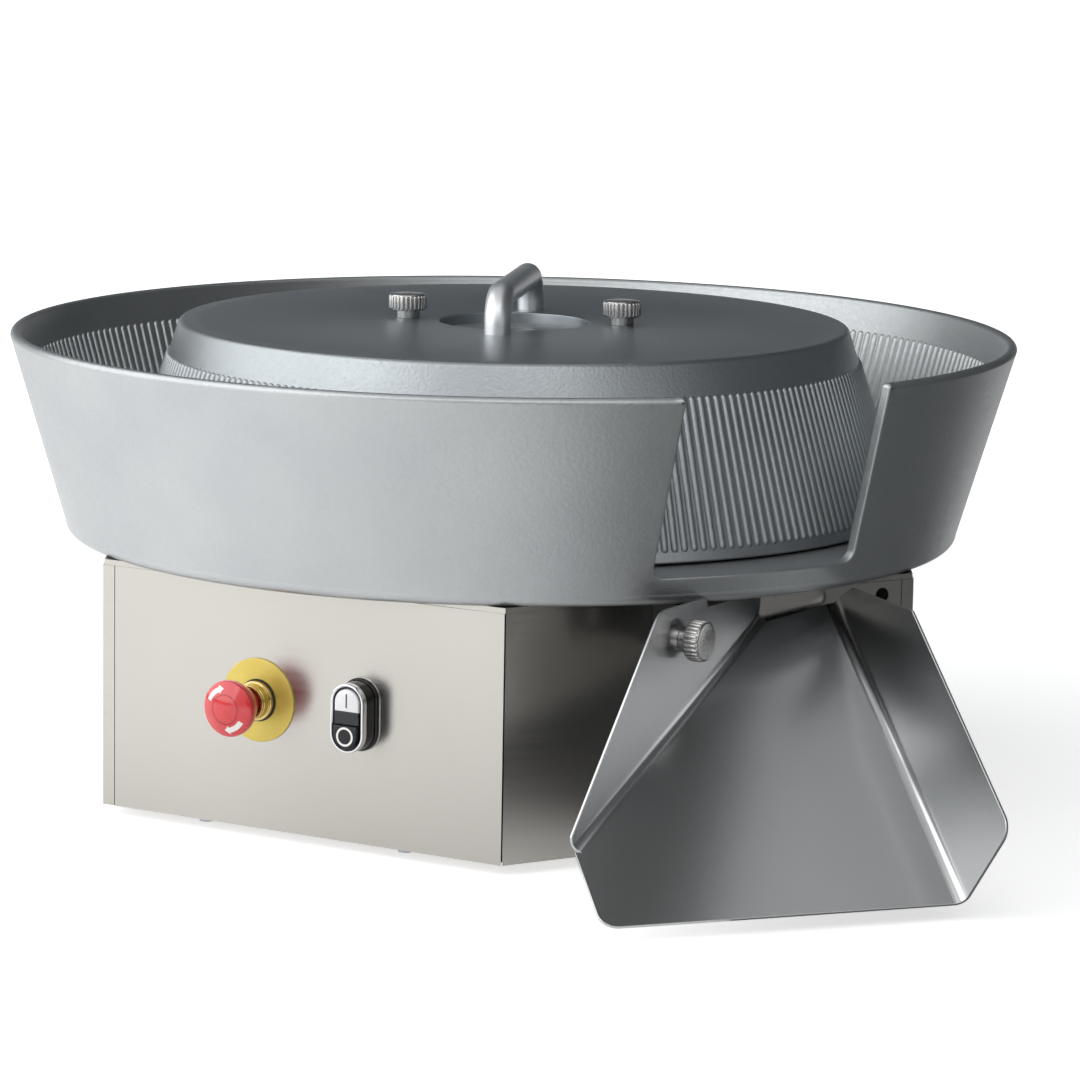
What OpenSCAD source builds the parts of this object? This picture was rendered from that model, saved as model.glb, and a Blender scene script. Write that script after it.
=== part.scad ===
// Countertop conical dough rounder: a ribbed cone turns inside a flared, ribbed bowl and rolls
// each piece of dough up the channel between them until it leaves down a steel chute.
// Frame: origin on the bowl axis at table level, Z up, the control panel faces -Y.

/* [Base] */
// Height from the foot of the side panels to the top of the deck
base_height = 180; // [165:1:200]
// Height of the rubber feet below the side panels
foot_height = 8; // [6:1:12]
// Thickness of the stainless side panels and of the pan
sheet = 2; // [1.5:0.1:2.5]
// Thickness of the deck that carries the bowl and the gearbox
deck_thickness = 4; // [3:0.5:5]
// How far a corner of the six-sided base stands out past the foot of the bowl
corner_overhang = 4; // [0:0.5:8]
// Width of the strip of side panel that is folded round onto a front face
corner_strip = 10; // [6:1:16]

/* [Bowl] */
// Outer diameter of the bowl at the rim
rim_diameter = 750; // [700:5:800]
// Height of the bowl above the deck
bowl_height = 150; // [135:1:165]
// How far the rim stands out past the foot of the bowl
bowl_flare = 43; // [36:1:50]
// Thickness of the cast bowl wall
bowl_wall = 8; // [7:0.5:10]
// Height of the channel floor above the foot of the bowl
floor_height = 20; // [16:1:24]
// Height of the plain band under the rim
bowl_band = 24; // [16:1:34]
// Number of ribs round the inside of the bowl
bowl_ribs = 270; // [200:2:280]
// Compass direction of the middle of the exit opening, degrees
exit_heading = -28.5; // [-33:0.5:-25]
// Width of the straight-sided exit opening in the bowl wall
exit_width = 167; // [140:1:175]

/* [Cone] */
// Width of the channel floor between cone and bowl
channel_width = 36; // [30:1:44]
// Slope of the cone wall from upright, degrees
cone_slope = 18.3; // [15:0.1:21]
// Height of the cone top above the bowl rim
cone_rise = 7; // [3:0.5:12]
// Gap between the cone and the channel floor
cone_gap = 4; // [3:0.5:6]
// Thickness of the cone wall
cone_wall = 7; // [6:0.5:9]
// Thickness of the cone top
cone_top = 10; // [9:0.5:13]
// Number of ribs round the outside of the cone
cone_ribs = 240; // [180:2:250]
// Height of the ribs on the cone and in the bowl
rib_height = 1.6; // [1:0.1:2]
// Diameter of the round opening in the cone top
cone_hole = 113; // [100:1:124]
// Direction in which the cone is parked, degrees
cone_phase = 22; // [0:1:90]

/* [Handle and thumb screws] */
// Distance between the two feet of the lifting handle
handle_span = 165; // [158:1:176]
// Height of the lifting handle above the cone
handle_height = 37; // [34:1:48]
// Diameter of the handle bar
handle_bar = 20; // [16:0.5:22]
// Diameter of a thumb screw head
knob_diameter = 29; // [24:0.5:34]
// Height of a thumb screw head
knob_height = 12; // [10:0.5:16]
// Distance of the cone thumb screws from the axis
knob_radius = 81; // [76:1:90]

/* [Chute] */
// Compass direction in which the chute falls, degrees
chute_heading = -41; // [-43:0.5:-39]
// Slope of the chute floor, degrees
chute_slope = 34; // [32:0.5:36]
// Width of the chute floor at its lip
chute_width = 257; // [245:1:265]
// Height of the chute lip above the table
chute_lip = 12; // [10:1:20]
// Length of the straight left edge of the floor behind the lip
chute_cheek = 70; // [60:1:80]
// Height of the right wing above the floor
wing_height = 72; // [60:1:80]

/* [Controls] */
// Place of the emergency stop along the control panel
estop_x = -33; // [-60:1:-20]
// Place of the start and stop buttons along the control panel
twin_x = 53; // [40:1:90]
// Height of the controls above the foot of the panel
control_height = 93; // [80:1:110]
// Diameter of the emergency stop head
estop_head_diameter = 40; // [36:0.5:44]
// Diameter of the yellow disc behind the emergency stop
estop_plate_diameter = 60; // [50:1:66]
// Travel of the emergency stop when it is pressed
estop_travel = 5; // [4:0.5:6]
// Travel of the start and stop buttons
button_travel = 2.5; // [2:0.1:3]

/* [Hidden] */
$fn = 96;

// Play of a turning or sliding fit, on the radius
run_gap = 0.05;
// Play of a seated fit within one body, on the radius
seat_gap = 0.02;
// Overshoot of a cutting tool
over = 1;

// Fasteners: shanks, holes with their play, heads as diameter and height
hole_play = 0.2;
small_screw = 5;
small_hole = small_screw + hole_play;
small_head = [10, 3];
big_screw = 8;
big_hole = big_screw + hole_play;
big_head = [15, 6];
screw_bite = 8;

// Heights
deck_top = foot_height + base_height;
deck_bottom = deck_top - deck_thickness;
pan_bottom = foot_height + sheet;
pan_top = pan_bottom + sheet;
rim_z = deck_top + bowl_height;

// Six-sided base
bowl_foot_radius = rim_diameter / 2 - bowl_flare;
hex_radius = bowl_foot_radius + corner_overhang;
apothem = hex_radius * cos(30);
inner_hex = hex_radius - sheet / cos(30);
flange_width = 16;
seam = 0.6;
pan_play = 0.3;
pan_lip = 20;
panel_depth = apothem - flange_width - 8;
panel_reach = apothem + 40;
strip_x = hex_radius / 2 - corner_strip;
foot_place = [hex_radius * 0.52, hex_radius * 0.45];
foot_radius = 22;
foot_recess = [16, 3];
pan_slot = [6, 90];
pan_slot_pitch = 18;
pan_slot_y = 190;
vent = [7, 70];
vent_pitch = 20;
spare_hole = [11, 141, deck_bottom - 10];
gland_x = -110;
gland_height = 34;
gland_thread = 20;
gland_bore = 9;
gland_nut = [28, 6];
gland_cap = [24, 12];

// Bowl section, heights from the deck
flare_rate = bowl_flare / (bowl_height - bowl_wall / 2);
floor_thickness = 10;
bowl_rib_top = bowl_height - bowl_band;
rib_bed = 2;
rib_root = 1;
rib_step = 0.2;
rib_valley = 0.3;
rib_flank = 0.18;
dam_radius = 60;
dam_wall = 6;
dam_height = 40;
boss_radius = 150;
boss_width = 24;
boss_count = 8;
boss_first = 22.5;
boss_cap = [7, 3];
boss_cap_round = 9;
skirt_width = 14;
exit_corner = 9;
exit_reach = 20;
exit_sink = 24;

// Cone section
cone_base_z = deck_top + floor_height + cone_gap;
cone_top_z = rim_z + cone_rise;
cone_base_radius = bowl_inside(floor_height) - channel_width;
cone_edge = 8;
cone_foot_band = 10;
cone_head_band = 24;
cone_rib_bottom = cone_base_z + cone_foot_band;
cone_rib_top = cone_top_z - cone_head_band;
stud_diameter = 8;
collar_diameter = 18;
collar_height = 6;
knurls = 30;
knurl_radius = 1;
knurl_inset = 0.4;
handle_bend = 20;
handle_screw = 6;
handle_screw_head = [11, 3.5];
handle_screw_pocket = [13, 4];
handle_screw_bite = 14;

// Drive
hub_radius = 105;
hub_thickness = 14;
hub_spigot = 2;
hub_boss_radius = 35;
hub_boss_height = 36;
hub_seat_z = cone_top_z - cone_top;
shaft_diameter = 35;
shaft_top_z = hub_seat_z - 6;
hub_recess_radius = 22;
hub_washer = [42, 3];
hub_bolt = 12;
hub_bolt_length = 28;
hub_bolt_head = [18, 4];
hub_bolt_hex = 10;
gear_drop = 74;
gear_z = deck_bottom - gear_drop;
worm_offset = 63;
wheel_radius = 46;
wheel_width = 34;
worm_radius = 16.5;
worm_length = 64;
worm_journal = 20;
worm_teeth = 7;
worm_pitch = 8;
worm_groove = 2.5;
wheel_teeth = 36;
wheel_groove = 2;
upper_bearing_z = gear_z + 36;
upper_bearing_size = [72, 17];
lower_bearing_size = [62, 16];
lower_journal = 30;
gearbox_half = 70;
gearbox_front = 60;
gearbox_back = 100;
gearbox_sump = 44;
gearbox_neck = 14;
gearbox_floor = gear_z - gearbox_sump;
gearbox_roof = deck_bottom - gearbox_neck;
shaft_step_z = gearbox_floor + lower_bearing_size[1] + 1;
gearbox_flange_radius = 88;
gearbox_bolts_count = 6;
gearbox_bolt_radius = gearbox_flange_radius - 14;
gearbox_bore = wheel_radius + 6;
gearbox_throat = shaft_diameter + 6;
worm_room = 4;
cover_thickness = 8;
cover_radius = wheel_radius + 16;
motor_radius = 58;
motor_start = gearbox_half;
motor_flange = 14;
motor_end = 196;
fan_cover_end = 232;
motor_fin = [3, 5];
motor_fins = 12;
motor_fin_end = 10;
motor_bore = worm_journal + 2 * run_gap;
terminal_box = [70, 34, 44];
terminal_start = 30;
terminal_sink = 12;
fan_hub = [16, 16];
fan_disc = [48, 3];
fan_blade = [35, 3, 14];
fan_blades = 8;
fan_vents = [20, 32, 44];
fan_vent = 7;
key_size = [10, 8];
key_length = 26;
rail_place = [-120, -190];
rail = [120, 35, 7.5];
rail_web = 1;
rail_brim = 5;
contactor_place = [-90, -205];
contactor_foot = [45, 65, 40];
contactor_head = [39, 45, 30];

// Chute
sill_drop = 16;
chute_top_z = deck_top - sill_drop;
chute_top_s = 98;
chute_top_n = 6;
panel_heading = -30;
lip_angle = chute_heading + 90;
chute_length = (chute_top_z - chute_lip) / sin(chute_slope);
chute_top_xy = panel_point(chute_top_s, chute_top_n);
lip_right = [chute_top_xy[0] + chute_length * cos(chute_slope) * cos(chute_heading),
    chute_top_xy[1] + chute_length * cos(chute_slope) * sin(chute_heading)];
lip_left = [lip_right[0] - chute_width * cos(lip_angle), lip_right[1] - chute_width * sin(lip_angle)];
fold_rate = cos(lip_angle) / (cos(chute_slope) * sin(lip_angle));
fold_drop = 22;
fold_top_z = deck_top - fold_drop;
fold_top_v = (fold_top_z - chute_lip) / sin(chute_slope);
fold_top_u = (fold_top_v - chute_cheek) / fold_rate;
wing_x = floor_point(0, chute_cheek)[0];
wing_low_y = floor_point(0, chute_cheek)[1];
wing_low_z = floor_point(0, chute_cheek)[2];
fold_top_y = floor_point(fold_top_u, fold_top_v)[1];
wing_rise = 5;
wing_corner_back = 147.6;
wing_shoulder_back = 89.6;
wing_step = 8;
wing_corner = [fold_top_y - wing_corner_back, deck_top + wing_rise];
wing_shoulder = [fold_top_y - wing_shoulder_back, deck_top + wing_rise];
bowl_clearance = 2;
wing_back_z = deck_top - bowl_clearance;
wing_tilt = 79.5;
wing_back_height = 24;
wing_back_run = 8;
wing_shoulder_run = 80;
corner_round = 12;
wing_round = 20;
chute_knob_back = 113.6;
chute_knob_drop = 19;
chute_knob_y = fold_top_y - chute_knob_back;
chute_knob_z = deck_top - chute_knob_drop;
leaf = 3;
leaf_half = 20;
leaf_height = 34;
leaf_end = [wing_x - sheet - leaf, chute_knob_y + leaf_half];
web_s = panel_s(leaf_end[0], leaf_end[1]);
nut_radius = 8;
nut_height = 8;
foot_leaf = 40;
ledge_size = [38, 60];
ledge_inset = 18;
ledge_back = 64;
ledge_low = [chute_width - ledge_inset - ledge_size[0], chute_length - ledge_back];
ledge_screw_inset = [14, 40];
ledge_screw_pitch = 30;
ledge_screw_drop = 67;
ledge_screw_z = chute_top_z - ledge_screw_drop;
ledge_leaf = [58, 90];
bracket_screw_inset = 14;
bracket_screw_rows = [-10, 6];
bracket_screw = 5;
bracket_hole = bracket_screw + 0.1;
bracket_screw_head = [9, 3];
beyond = 600;

// Controls
mount_hole = 22.6;
estop_plate_thickness = 1.5;
estop_collar_height = 13;
estop_head_back = estop_collar_height + estop_travel + 2;
estop_head_front = estop_head_back + 24;
estop_waist = 13.5;
estop_rim = 7;
estop_dome = 70;
estop_socket = 14;
estop_pivot = 12;
estop_barrel = 14;
estop_thread = 22;
estop_gasket = [30, 5];
estop_collar_diameter = 25;
panel_nut = [30, 5];
estop_block = [30, 44, 32];
estop_tail = 2;
estop_tail_room = 4;
twin_height = 49;
twin_width = 27;
twin_rim = 2;
twin_depth = 20;
twin_step = 15;
twin_flange = [3, 4];
twin_floor = 10;
twin_shoulder = 1.5;
twin_thread = 22;
twin_block = [40, 44, 30];
twin_inner = [twin_width, twin_height] - 2 * (twin_rim + seat_gap) * [1, 1];
twin_opening = twin_inner - 2 * twin_shoulder * [1, 1];
lens_half = 4.5;
button_play = 0.3;
button_cap = twin_opening - 2 * button_play * [1, 1];
button_bottom = twin_floor + button_travel + 0.5;
stop_proud = 2;
plunger = 6;
plunger_offset = 8;
plunger_tail = 4;
estop_z = foot_height + control_height;

// Radius of the outside of the bowl at a height above the deck
function bowl_outside(z) = bowl_foot_radius + z * flare_rate;

// Radius of the inside of the bowl at a height above the deck
function bowl_inside(z) = bowl_outside(z) - bowl_wall;

// Radius of the outside of the cone at a height above the table
function cone_outside(z) = cone_base_radius - (z - cone_base_z) * tan(cone_slope);

// Plan place of a point given along and out from the chute panel
function panel_point(s, n) = [
    (apothem + n) * cos(panel_heading) - s * sin(panel_heading),
    (apothem + n) * sin(panel_heading) + s * cos(panel_heading)];

// Distance along the chute panel of a plan point
function panel_s(x, y) = -x * sin(panel_heading) + y * cos(panel_heading);

// Place of a point given along and up the chute floor
function floor_point(u, v) = [
    lip_left[0] + u * cos(lip_angle) - v * cos(chute_slope) * sin(lip_angle),
    lip_left[1] + u * sin(lip_angle) + v * cos(chute_slope) * cos(lip_angle),
    chute_lip + v * sin(chute_slope)];

// Outline of a ribbed ring: each rib is a flat-topped tooth between two valleys
function ribbed_outline(count, valley, tip) = [
    for (i = [0 : count - 1])
        for (corner = [[0, valley], [rib_valley, valley],
                [rib_valley + rib_flank, tip], [1 - rib_flank, tip]])
            let (a = 360 * (i + corner[0]) / count) corner[1] * [cos(a), sin(a)]];

// Places of a ring of fasteners
module around(count, radius, first = 0) {
    for (i = [0 : count - 1]) {
        rotate([0, 0, first + i * 360 / count]) translate([radius, 0, 0]) children();
    }
}

// Turns the control panel's plane to a side of the base, 0 being the control panel
module on_side(i) {
    rotate([0, 0, 60 * i]) children();
}

// A place on the control panel, with local Z pointing out
module on_panel(x) {
    translate([x, -apothem, estop_z]) rotate([90, 0, 0]) children();
}

// The base's outline as a flat hexagon
module hexagon(radius) {
    circle(r = radius, $fn = 6);
}

// A tube along Z
module tube(outer, inner, height) {
    difference() {
        cylinder(r = outer, h = height);
        translate([0, 0, -over]) cylinder(r = inner, h = height + 2 * over);
    }
}

// A slot with round ends, upright in its plane
module stadium(width, height) {
    straight = height - width;
    square([width, straight], center = true);
    for (side = [-1, 1]) translate([0, side * straight / 2]) circle(d = width);
}

// The two screws along the inward flange of each of the six sides
module flange_places() {
    for (i = [0 : 5]) on_side(i) {
        for (x = [-hex_radius / 4, hex_radius / 4]) {
            translate([x, -apothem + flange_width / 2 + sheet, 0]) children();
        }
    }
}

// Plan region of one flat front panel, its free end at +X or -X
module panel_region(strip_side) {
    mirror([strip_side > 0 ? 1 : 0, 0]) polygon([
        [seam - strip_x, -panel_reach], [seam - strip_x, -panel_depth],
        [panel_depth * tan(30) - seam, -panel_depth], [panel_reach * tan(30) - seam, -panel_reach]]);
}

// Upright sheet wall of the base with inward flanges at its foot and top
module wall_ring() {
    difference() {
        translate([0, 0, foot_height]) linear_extrude(deck_bottom - foot_height) hexagon(hex_radius);
        translate([0, 0, foot_height + sheet])
            linear_extrude(deck_bottom - foot_height - 2 * sheet) hexagon(inner_hex);
        translate([0, 0, foot_height - over])
            linear_extrude(deck_top) hexagon(inner_hex - flange_width / cos(30));
        flange_places() cylinder(d = small_hole, h = deck_top);
    }
}

// A front panel of the wall, before its own holes
module front_panel(strip_side) {
    intersection() {
        wall_ring();
        linear_extrude(deck_top) panel_region(strip_side);
    }
}

// Bottom pan, with an upturned lip and vent slots
module base_pan() {
    color("silver") difference() {
        translate([0, 0, pan_bottom]) linear_extrude(pan_lip) hexagon(inner_hex - pan_play);
        translate([0, 0, pan_top]) linear_extrude(pan_lip)
            hexagon(inner_hex - pan_play - sheet / cos(30));
        flange_places() cylinder(d = small_hole, h = pan_top + over);
        foot_places() cylinder(d = big_hole, h = pan_top + over);
        for (i = [-4 : 4]) {
            translate([i * pan_slot_pitch, pan_slot_y, 0]) linear_extrude(pan_top + over)
                stadium(pan_slot[0], pan_slot[1]);
        }
    }
}

// Four feet, well inside the panels
module foot_places() {
    for (x = [-1, 1]) {
        for (y = [-1, 1]) {
            translate([x * foot_place[0], y * foot_place[1], 0]) children();
        }
    }
}

// Rubber feet with a recess for their bolts
module rubber_feet() {
    color("dimgray") foot_places() difference() {
        rotate_extrude() polygon([[0, 0], [foot_radius - 4, 0], [foot_radius - 2, 2],
            [foot_radius, pan_bottom], [0, pan_bottom]]);
        translate([0, 0, -over]) cylinder(d = foot_recess[0], h = over + foot_recess[1]);
        cylinder(d = big_hole, h = pan_top);
    }
}

// Bolts and nuts of the feet
module foot_bolts() {
    cap = foot_recess - [3, 1];
    color("lightgray") foot_places() translate([0, 0, foot_recess[1] - cap[1]]) {
        cylinder(d = cap[0], h = cap[1]);
        cylinder(d = big_screw, h = pan_top + screw_bite);
        translate([0, 0, pan_top + cap[1] - foot_recess[1]])
            cylinder(d = big_head[0], h = big_head[1], $fn = 6);
    }
}

// A hole straight through a panel, local Z pointing out
module through_sheet(diameter) {
    translate([0, 0, -sheet - over]) cylinder(d = diameter, h = sheet + 2 * over);
}

// Front panel that carries the controls
module control_panel() {
    color("gainsboro") difference() {
        front_panel(-1);
        for (x = [estop_x, twin_x]) on_panel(x) through_sheet(mount_hole);
    }
}

// Front panel behind the chute, with its spare hole near the top
module chute_panel() {
    color("gainsboro") difference() {
        on_side(1) front_panel(1);
        on_side(1) translate([spare_hole[1], -apothem, spare_hole[2]]) rotate([90, 0, 0])
            through_sheet(spare_hole[0]);
        bracket_screw_places() through_sheet(bracket_hole);
    }
}

// Folded wrap of the four other sides, with vents and the cable entry at the back
module body_shell() {
    color("gainsboro") difference() {
        wall_ring();
        linear_extrude(deck_top) offset_region();
        for (i = [-5 : 5]) {
            on_side(3) translate([i * vent_pitch, sheet + over - apothem, foot_height + base_height / 2])
                rotate([90, 0, 0]) linear_extrude(sheet + 2 * over) stadium(vent[0], vent[1]);
        }
        gland_place() through_sheet(gland_thread + hole_play);
    }
}

// Plan region of the two front panels with their seams
module offset_region() {
    for (side = [0, 1]) on_side(side) mirror([side, 0]) polygon([
        [-strip_x, -panel_reach], [-strip_x, -panel_depth],
        [panel_depth * tan(30), -panel_depth], [panel_reach * tan(30), -panel_reach]]);
}

// Deck under the bowl
module deck_plate() {
    color("silver") difference() {
        translate([0, 0, deck_bottom]) linear_extrude(deck_thickness) hexagon(hex_radius - 1);
        cylinder(r = dam_radius, h = deck_top + over);
        flange_places() cylinder(d = small_hole, h = deck_top + over);
        around(gearbox_bolts_count, gearbox_bolt_radius) cylinder(d = big_hole, h = deck_top + over);
        around(boss_count, boss_radius, boss_first) cylinder(d = big_hole, h = deck_top + over);
    }
}

// Screws from the deck into the top flanges
module deck_screws() {
    color("lightgray") flange_places() {
        translate([0, 0, deck_top]) cylinder(d = small_head[0], h = small_head[1]);
        translate([0, 0, deck_bottom - screw_bite])
            cylinder(d = small_screw, h = deck_thickness + screw_bite + over);
    }
}

// Screws from below into the foot flanges
module panel_screws() {
    color("lightgray") flange_places() {
        translate([0, 0, foot_height - small_head[1]]) cylinder(d = small_head[0], h = small_head[1]);
        translate([0, 0, foot_height - over]) cylinder(d = small_screw, h = 2 * sheet + screw_bite - 2);
    }
}

// Turned section of the bowl without its ribs
module bowl_section() {
    foot_round = bowl_wall;
    lip_z = bowl_height - bowl_wall / 2;
    polygon([
        [bowl_outside(foot_round), foot_round], [bowl_outside(lip_z), lip_z],
        [bowl_inside(lip_z), lip_z], [bowl_inside(bowl_rib_top), bowl_rib_top],
        [bowl_inside(bowl_rib_top) + rib_bed, bowl_rib_top],
        [bowl_inside(floor_height) + rib_bed, floor_height],
        [bowl_inside(floor_height) + rib_bed, foot_round]]);
    translate([bowl_outside(lip_z) - bowl_wall / 2, lip_z]) circle(d = bowl_wall);
    translate([bowl_outside(foot_round) - foot_round, foot_round]) circle(r = foot_round);
    translate([bowl_outside(foot_round) - skirt_width, 0])
        square([skirt_width - foot_round, floor_height]);
    translate([dam_radius, floor_height - floor_thickness])
        square([bowl_outside(foot_round) - foot_round - dam_radius, floor_thickness]);
    translate([dam_radius, floor_height - floor_thickness]) square([dam_wall, dam_height]);
    translate([boss_radius - boss_width / 2, 0]) square([boss_width, floor_height]);
}

// Ring of ribs that lines the bowl wall
module bowl_rib_ring() {
    height = bowl_rib_top - floor_height;
    low = bowl_inside(floor_height);
    high = bowl_inside(bowl_rib_top);
    outer = rib_bed + rib_root;
    difference() {
        cylinder(r1 = low + outer, r2 = high + outer, h = height);
        linear_extrude(height, scale = high / low)
            polygon(ribbed_outline(bowl_ribs, low - rib_step, low - rib_height));
    }
}

// Cast bowl: flared wall, channel floor and the exit that lets the dough out
module bowl() {
    color("lightsteelblue") translate([0, 0, deck_top]) difference() {
        union() {
            rotate_extrude() bowl_section();
            translate([0, 0, floor_height]) bowl_rib_ring();
        }
        exit_slot();
        around(boss_count, boss_radius, boss_first) translate([0, 0, -over])
            cylinder(d = big_hole, h = floor_height + 2 * over);
    }
}

// Straight-sided slot out of the bowl wall, round at its two lower corners
module exit_slot() {
    half = exit_width / 2;
    rotate([0, 0, exit_heading]) translate([bowl_inside(floor_height) - exit_sink, 0, floor_height])
        rotate([90, 0, 90]) linear_extrude(bowl_flare + 3 * exit_reach) {
            translate([-half, exit_corner]) square([exit_width, bowl_height]);
            translate([exit_corner - half, 0]) square([exit_width - 2 * exit_corner, 2 * exit_corner]);
            for (side = [-1, 1])
                translate([side * (half - exit_corner), exit_corner]) circle(r = exit_corner);
        }
}

// Screws that hold the bowl to the deck, under the cone
module bowl_screws() {
    color("lightgray") around(boss_count, boss_radius, boss_first) {
        translate([0, 0, deck_top + floor_height]) rotate_extrude() intersection() {
            translate([0, boss_cap[1] - boss_cap_round]) circle(r = boss_cap_round);
            square(boss_cap);
        }
        translate([0, 0, deck_bottom - screw_bite])
            cylinder(d = big_screw, h = deck_thickness + floor_height + screw_bite + over);
    }
}

// Worm gearbox hanging from the deck
module gearbox_housing() {
    color("slategray") difference() {
        union() {
            translate([-gearbox_half, -gearbox_front, gearbox_floor])
                cube([2 * gearbox_half, gearbox_front + gearbox_back, gearbox_roof - gearbox_floor]);
            translate([0, 0, gearbox_roof - over])
                cylinder(r = gearbox_flange_radius, h = deck_bottom - gearbox_roof + over);
        }
        translate([0, 0, gearbox_floor - over])
            cylinder(r = gearbox_bore, h = gear_z - gearbox_floor + wheel_width / 2 + 6);
        cylinder(d = gearbox_throat, h = deck_top);
        translate([0, 0, upper_bearing_z])
            cylinder(d = upper_bearing_size[0] + 2 * seat_gap, h = deck_top);
        along_worm(-worm_length / 2 - 2 * worm_room)
            cylinder(r = worm_radius + worm_room, h = worm_length + 4 * worm_room);
        along_worm(0) cylinder(d = motor_bore, h = gearbox_half + over);
        along_worm(10 - gearbox_half) cylinder(d = motor_bore, h = gearbox_half);
        around(gearbox_bolts_count, gearbox_bolt_radius) translate([0, 0, gearbox_roof])
            cylinder(d = big_hole, h = deck_bottom - gearbox_roof + over);
    }
}

// Bottom cover of the gearbox with the lower bearing seat
module gearbox_cover() {
    color("slategray") difference() {
        union() {
            cylinder_from(gearbox_floor - cover_thickness, cover_radius, cover_thickness);
            cylinder_from(gearbox_floor, gearbox_bore - seat_gap, lower_bearing_size[1]);
        }
        translate([0, 0, gearbox_floor])
            cylinder(d = lower_bearing_size[0] + 2 * seat_gap, h = lower_bearing_size[1] + over);
        translate([0, 0, gearbox_floor - 5]) cylinder(d = lower_journal + 4, h = 10);
    }
}

// Bolts between deck and gearbox
module gearbox_bolts() {
    color("lightgray") around(gearbox_bolts_count, gearbox_bolt_radius) {
        translate([0, 0, deck_top]) cylinder(d = big_head[0], h = big_head[1], $fn = 6);
        translate([0, 0, gearbox_roof + 2]) cylinder(d = big_screw, h = deck_top + over - gearbox_roof - 2);
    }
}

// Upper bearing, in the gearbox roof
module upper_bearing() {
    color("gray") translate([0, 0, upper_bearing_z])
        tube(upper_bearing_size[0] / 2, shaft_diameter / 2 + run_gap, upper_bearing_size[1]);
}

// Lower bearing, in the gearbox cover
module lower_bearing() {
    color("gray") translate([0, 0, gearbox_floor])
        tube(lower_bearing_size[0] / 2, lower_journal / 2 + run_gap, lower_bearing_size[1]);
}

// Rubber lip seal over the upper bearing
module shaft_seal() {
    color("black") translate([0, 0, upper_bearing_z + upper_bearing_size[1]])
        tube(upper_bearing_size[0] / 2, shaft_diameter / 2 + run_gap, 8);
}

// A round body along the worm axis
module along_worm(x) {
    translate([x, worm_offset, gear_z]) rotate([0, 90, 0]) children();
}

// Motor frame with its flange and cooling fins
module motor_body() {
    start = motor_start + motor_flange - over;
    core = motor_radius - motor_fin[1];
    step = 360 / motor_fins;
    color("dimgray") difference() {
        union() {
            along_worm(motor_start) linear_extrude(motor_flange)
                square(2 * motor_radius - screw_bite, center = true);
            along_worm(start) cylinder(r = core, h = motor_end - start);
            along_worm(start) for (i = [0 : motor_fins - 1]) rotate([0, 0, (i + 0.5) * step])
                translate([core - 2, -motor_fin[0] / 2, 0])
                    cube([motor_fin[1] + 2, motor_fin[0], motor_end - start - motor_fin_end]);
        }
        along_worm(motor_start - over) cylinder(d = motor_bore, h = motor_end);
    }
}

// Cover over the motor fan
module motor_fan_cover() {
    color("dimgray") along_worm(motor_end) difference() {
        cylinder(r = motor_radius - 4, h = fan_cover_end - motor_end);
        translate([0, 0, -over]) cylinder(r = motor_radius - 6, h = fan_cover_end - motor_end - 1);
        for (r = fan_vents) around(fan_blades, r) cylinder(d = fan_vent, h = fan_cover_end);
    }
}

// Wiring box on the side of the motor
module motor_terminal_box() {
    color("dimgray") difference() {
        translate([motor_start + terminal_start, worm_offset + motor_radius - terminal_sink,
            gear_z - terminal_box[2] / 2]) cube(terminal_box);
        along_worm(motor_start) cylinder(r = motor_radius + seat_gap, h = motor_end);
    }
}

// Rail for the switchgear
module din_rail() {
    color("silver") translate([rail_place[0], rail_place[1], pan_top]) difference() {
        cube(rail);
        translate([-over, rail_brim, -over])
            cube([rail[0] + 2 * over, rail[1] - 2 * rail_brim, rail[2] - rail_web + over]);
    }
}

// Motor contactor clipped on the rail
module contactor() {
    step = (contactor_foot - contactor_head) / 2;
    color("gainsboro") translate([contactor_place[0], contactor_place[1], pan_top + rail[2]]) {
        cube(contactor_foot);
        translate([step[0], step[1], contactor_foot[2]]) cube(contactor_head);
    }
}

// Place of the cable entry, on the back, with local Z pointing out
module gland_place() {
    on_side(3) translate([gland_x, -apothem, foot_height + gland_height]) rotate([90, 0, 0]) children();
}

// Empty cable entry with its nuts
module cable_gland() {
    color("dimgray") gland_place() difference() {
        union() {
            translate([0, 0, -2 * gland_nut[1]]) cylinder(d = gland_thread, h = 2 * gland_nut[1] + over);
            cylinder(d = gland_nut[0], h = gland_nut[1], $fn = 6);
            translate([0, 0, gland_nut[1]]) cylinder(d = gland_cap[0], h = gland_cap[1]);
            translate([0, 0, -sheet - gland_nut[1]]) cylinder(d = gland_nut[0], h = gland_nut[1], $fn = 6);
        }
        translate([0, 0, -gland_thread]) cylinder(d = gland_bore, h = 3 * gland_thread);
    }
}

// Yellow disc behind the emergency stop
module estop_plate() {
    color("gold") on_panel(estop_x) tube(estop_plate_diameter / 2, mount_hole / 2, estop_plate_thickness);
}

// Fixed collar and barrel of the emergency stop
module estop_collar() {
    color("goldenrod") on_panel(estop_x) difference() {
        union() {
            translate([0, 0, -estop_barrel])
                cylinder(d = estop_thread, h = estop_barrel + estop_plate_thickness + over);
            translate([0, 0, estop_plate_thickness]) cylinder(d = estop_gasket[0], h = estop_gasket[1]);
            translate([0, 0, estop_plate_thickness])
                cylinder(d = estop_collar_diameter, h = estop_collar_height - estop_plate_thickness);
            translate([0, 0, -sheet - panel_nut[1]]) cylinder(d = panel_nut[0], h = panel_nut[1], $fn = 6);
        }
        translate([0, 0, -estop_barrel - over])
            cylinder(d = estop_pivot + 2 * run_gap, h = estop_barrel + estop_collar_height + 2 * over);
    }
}

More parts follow.
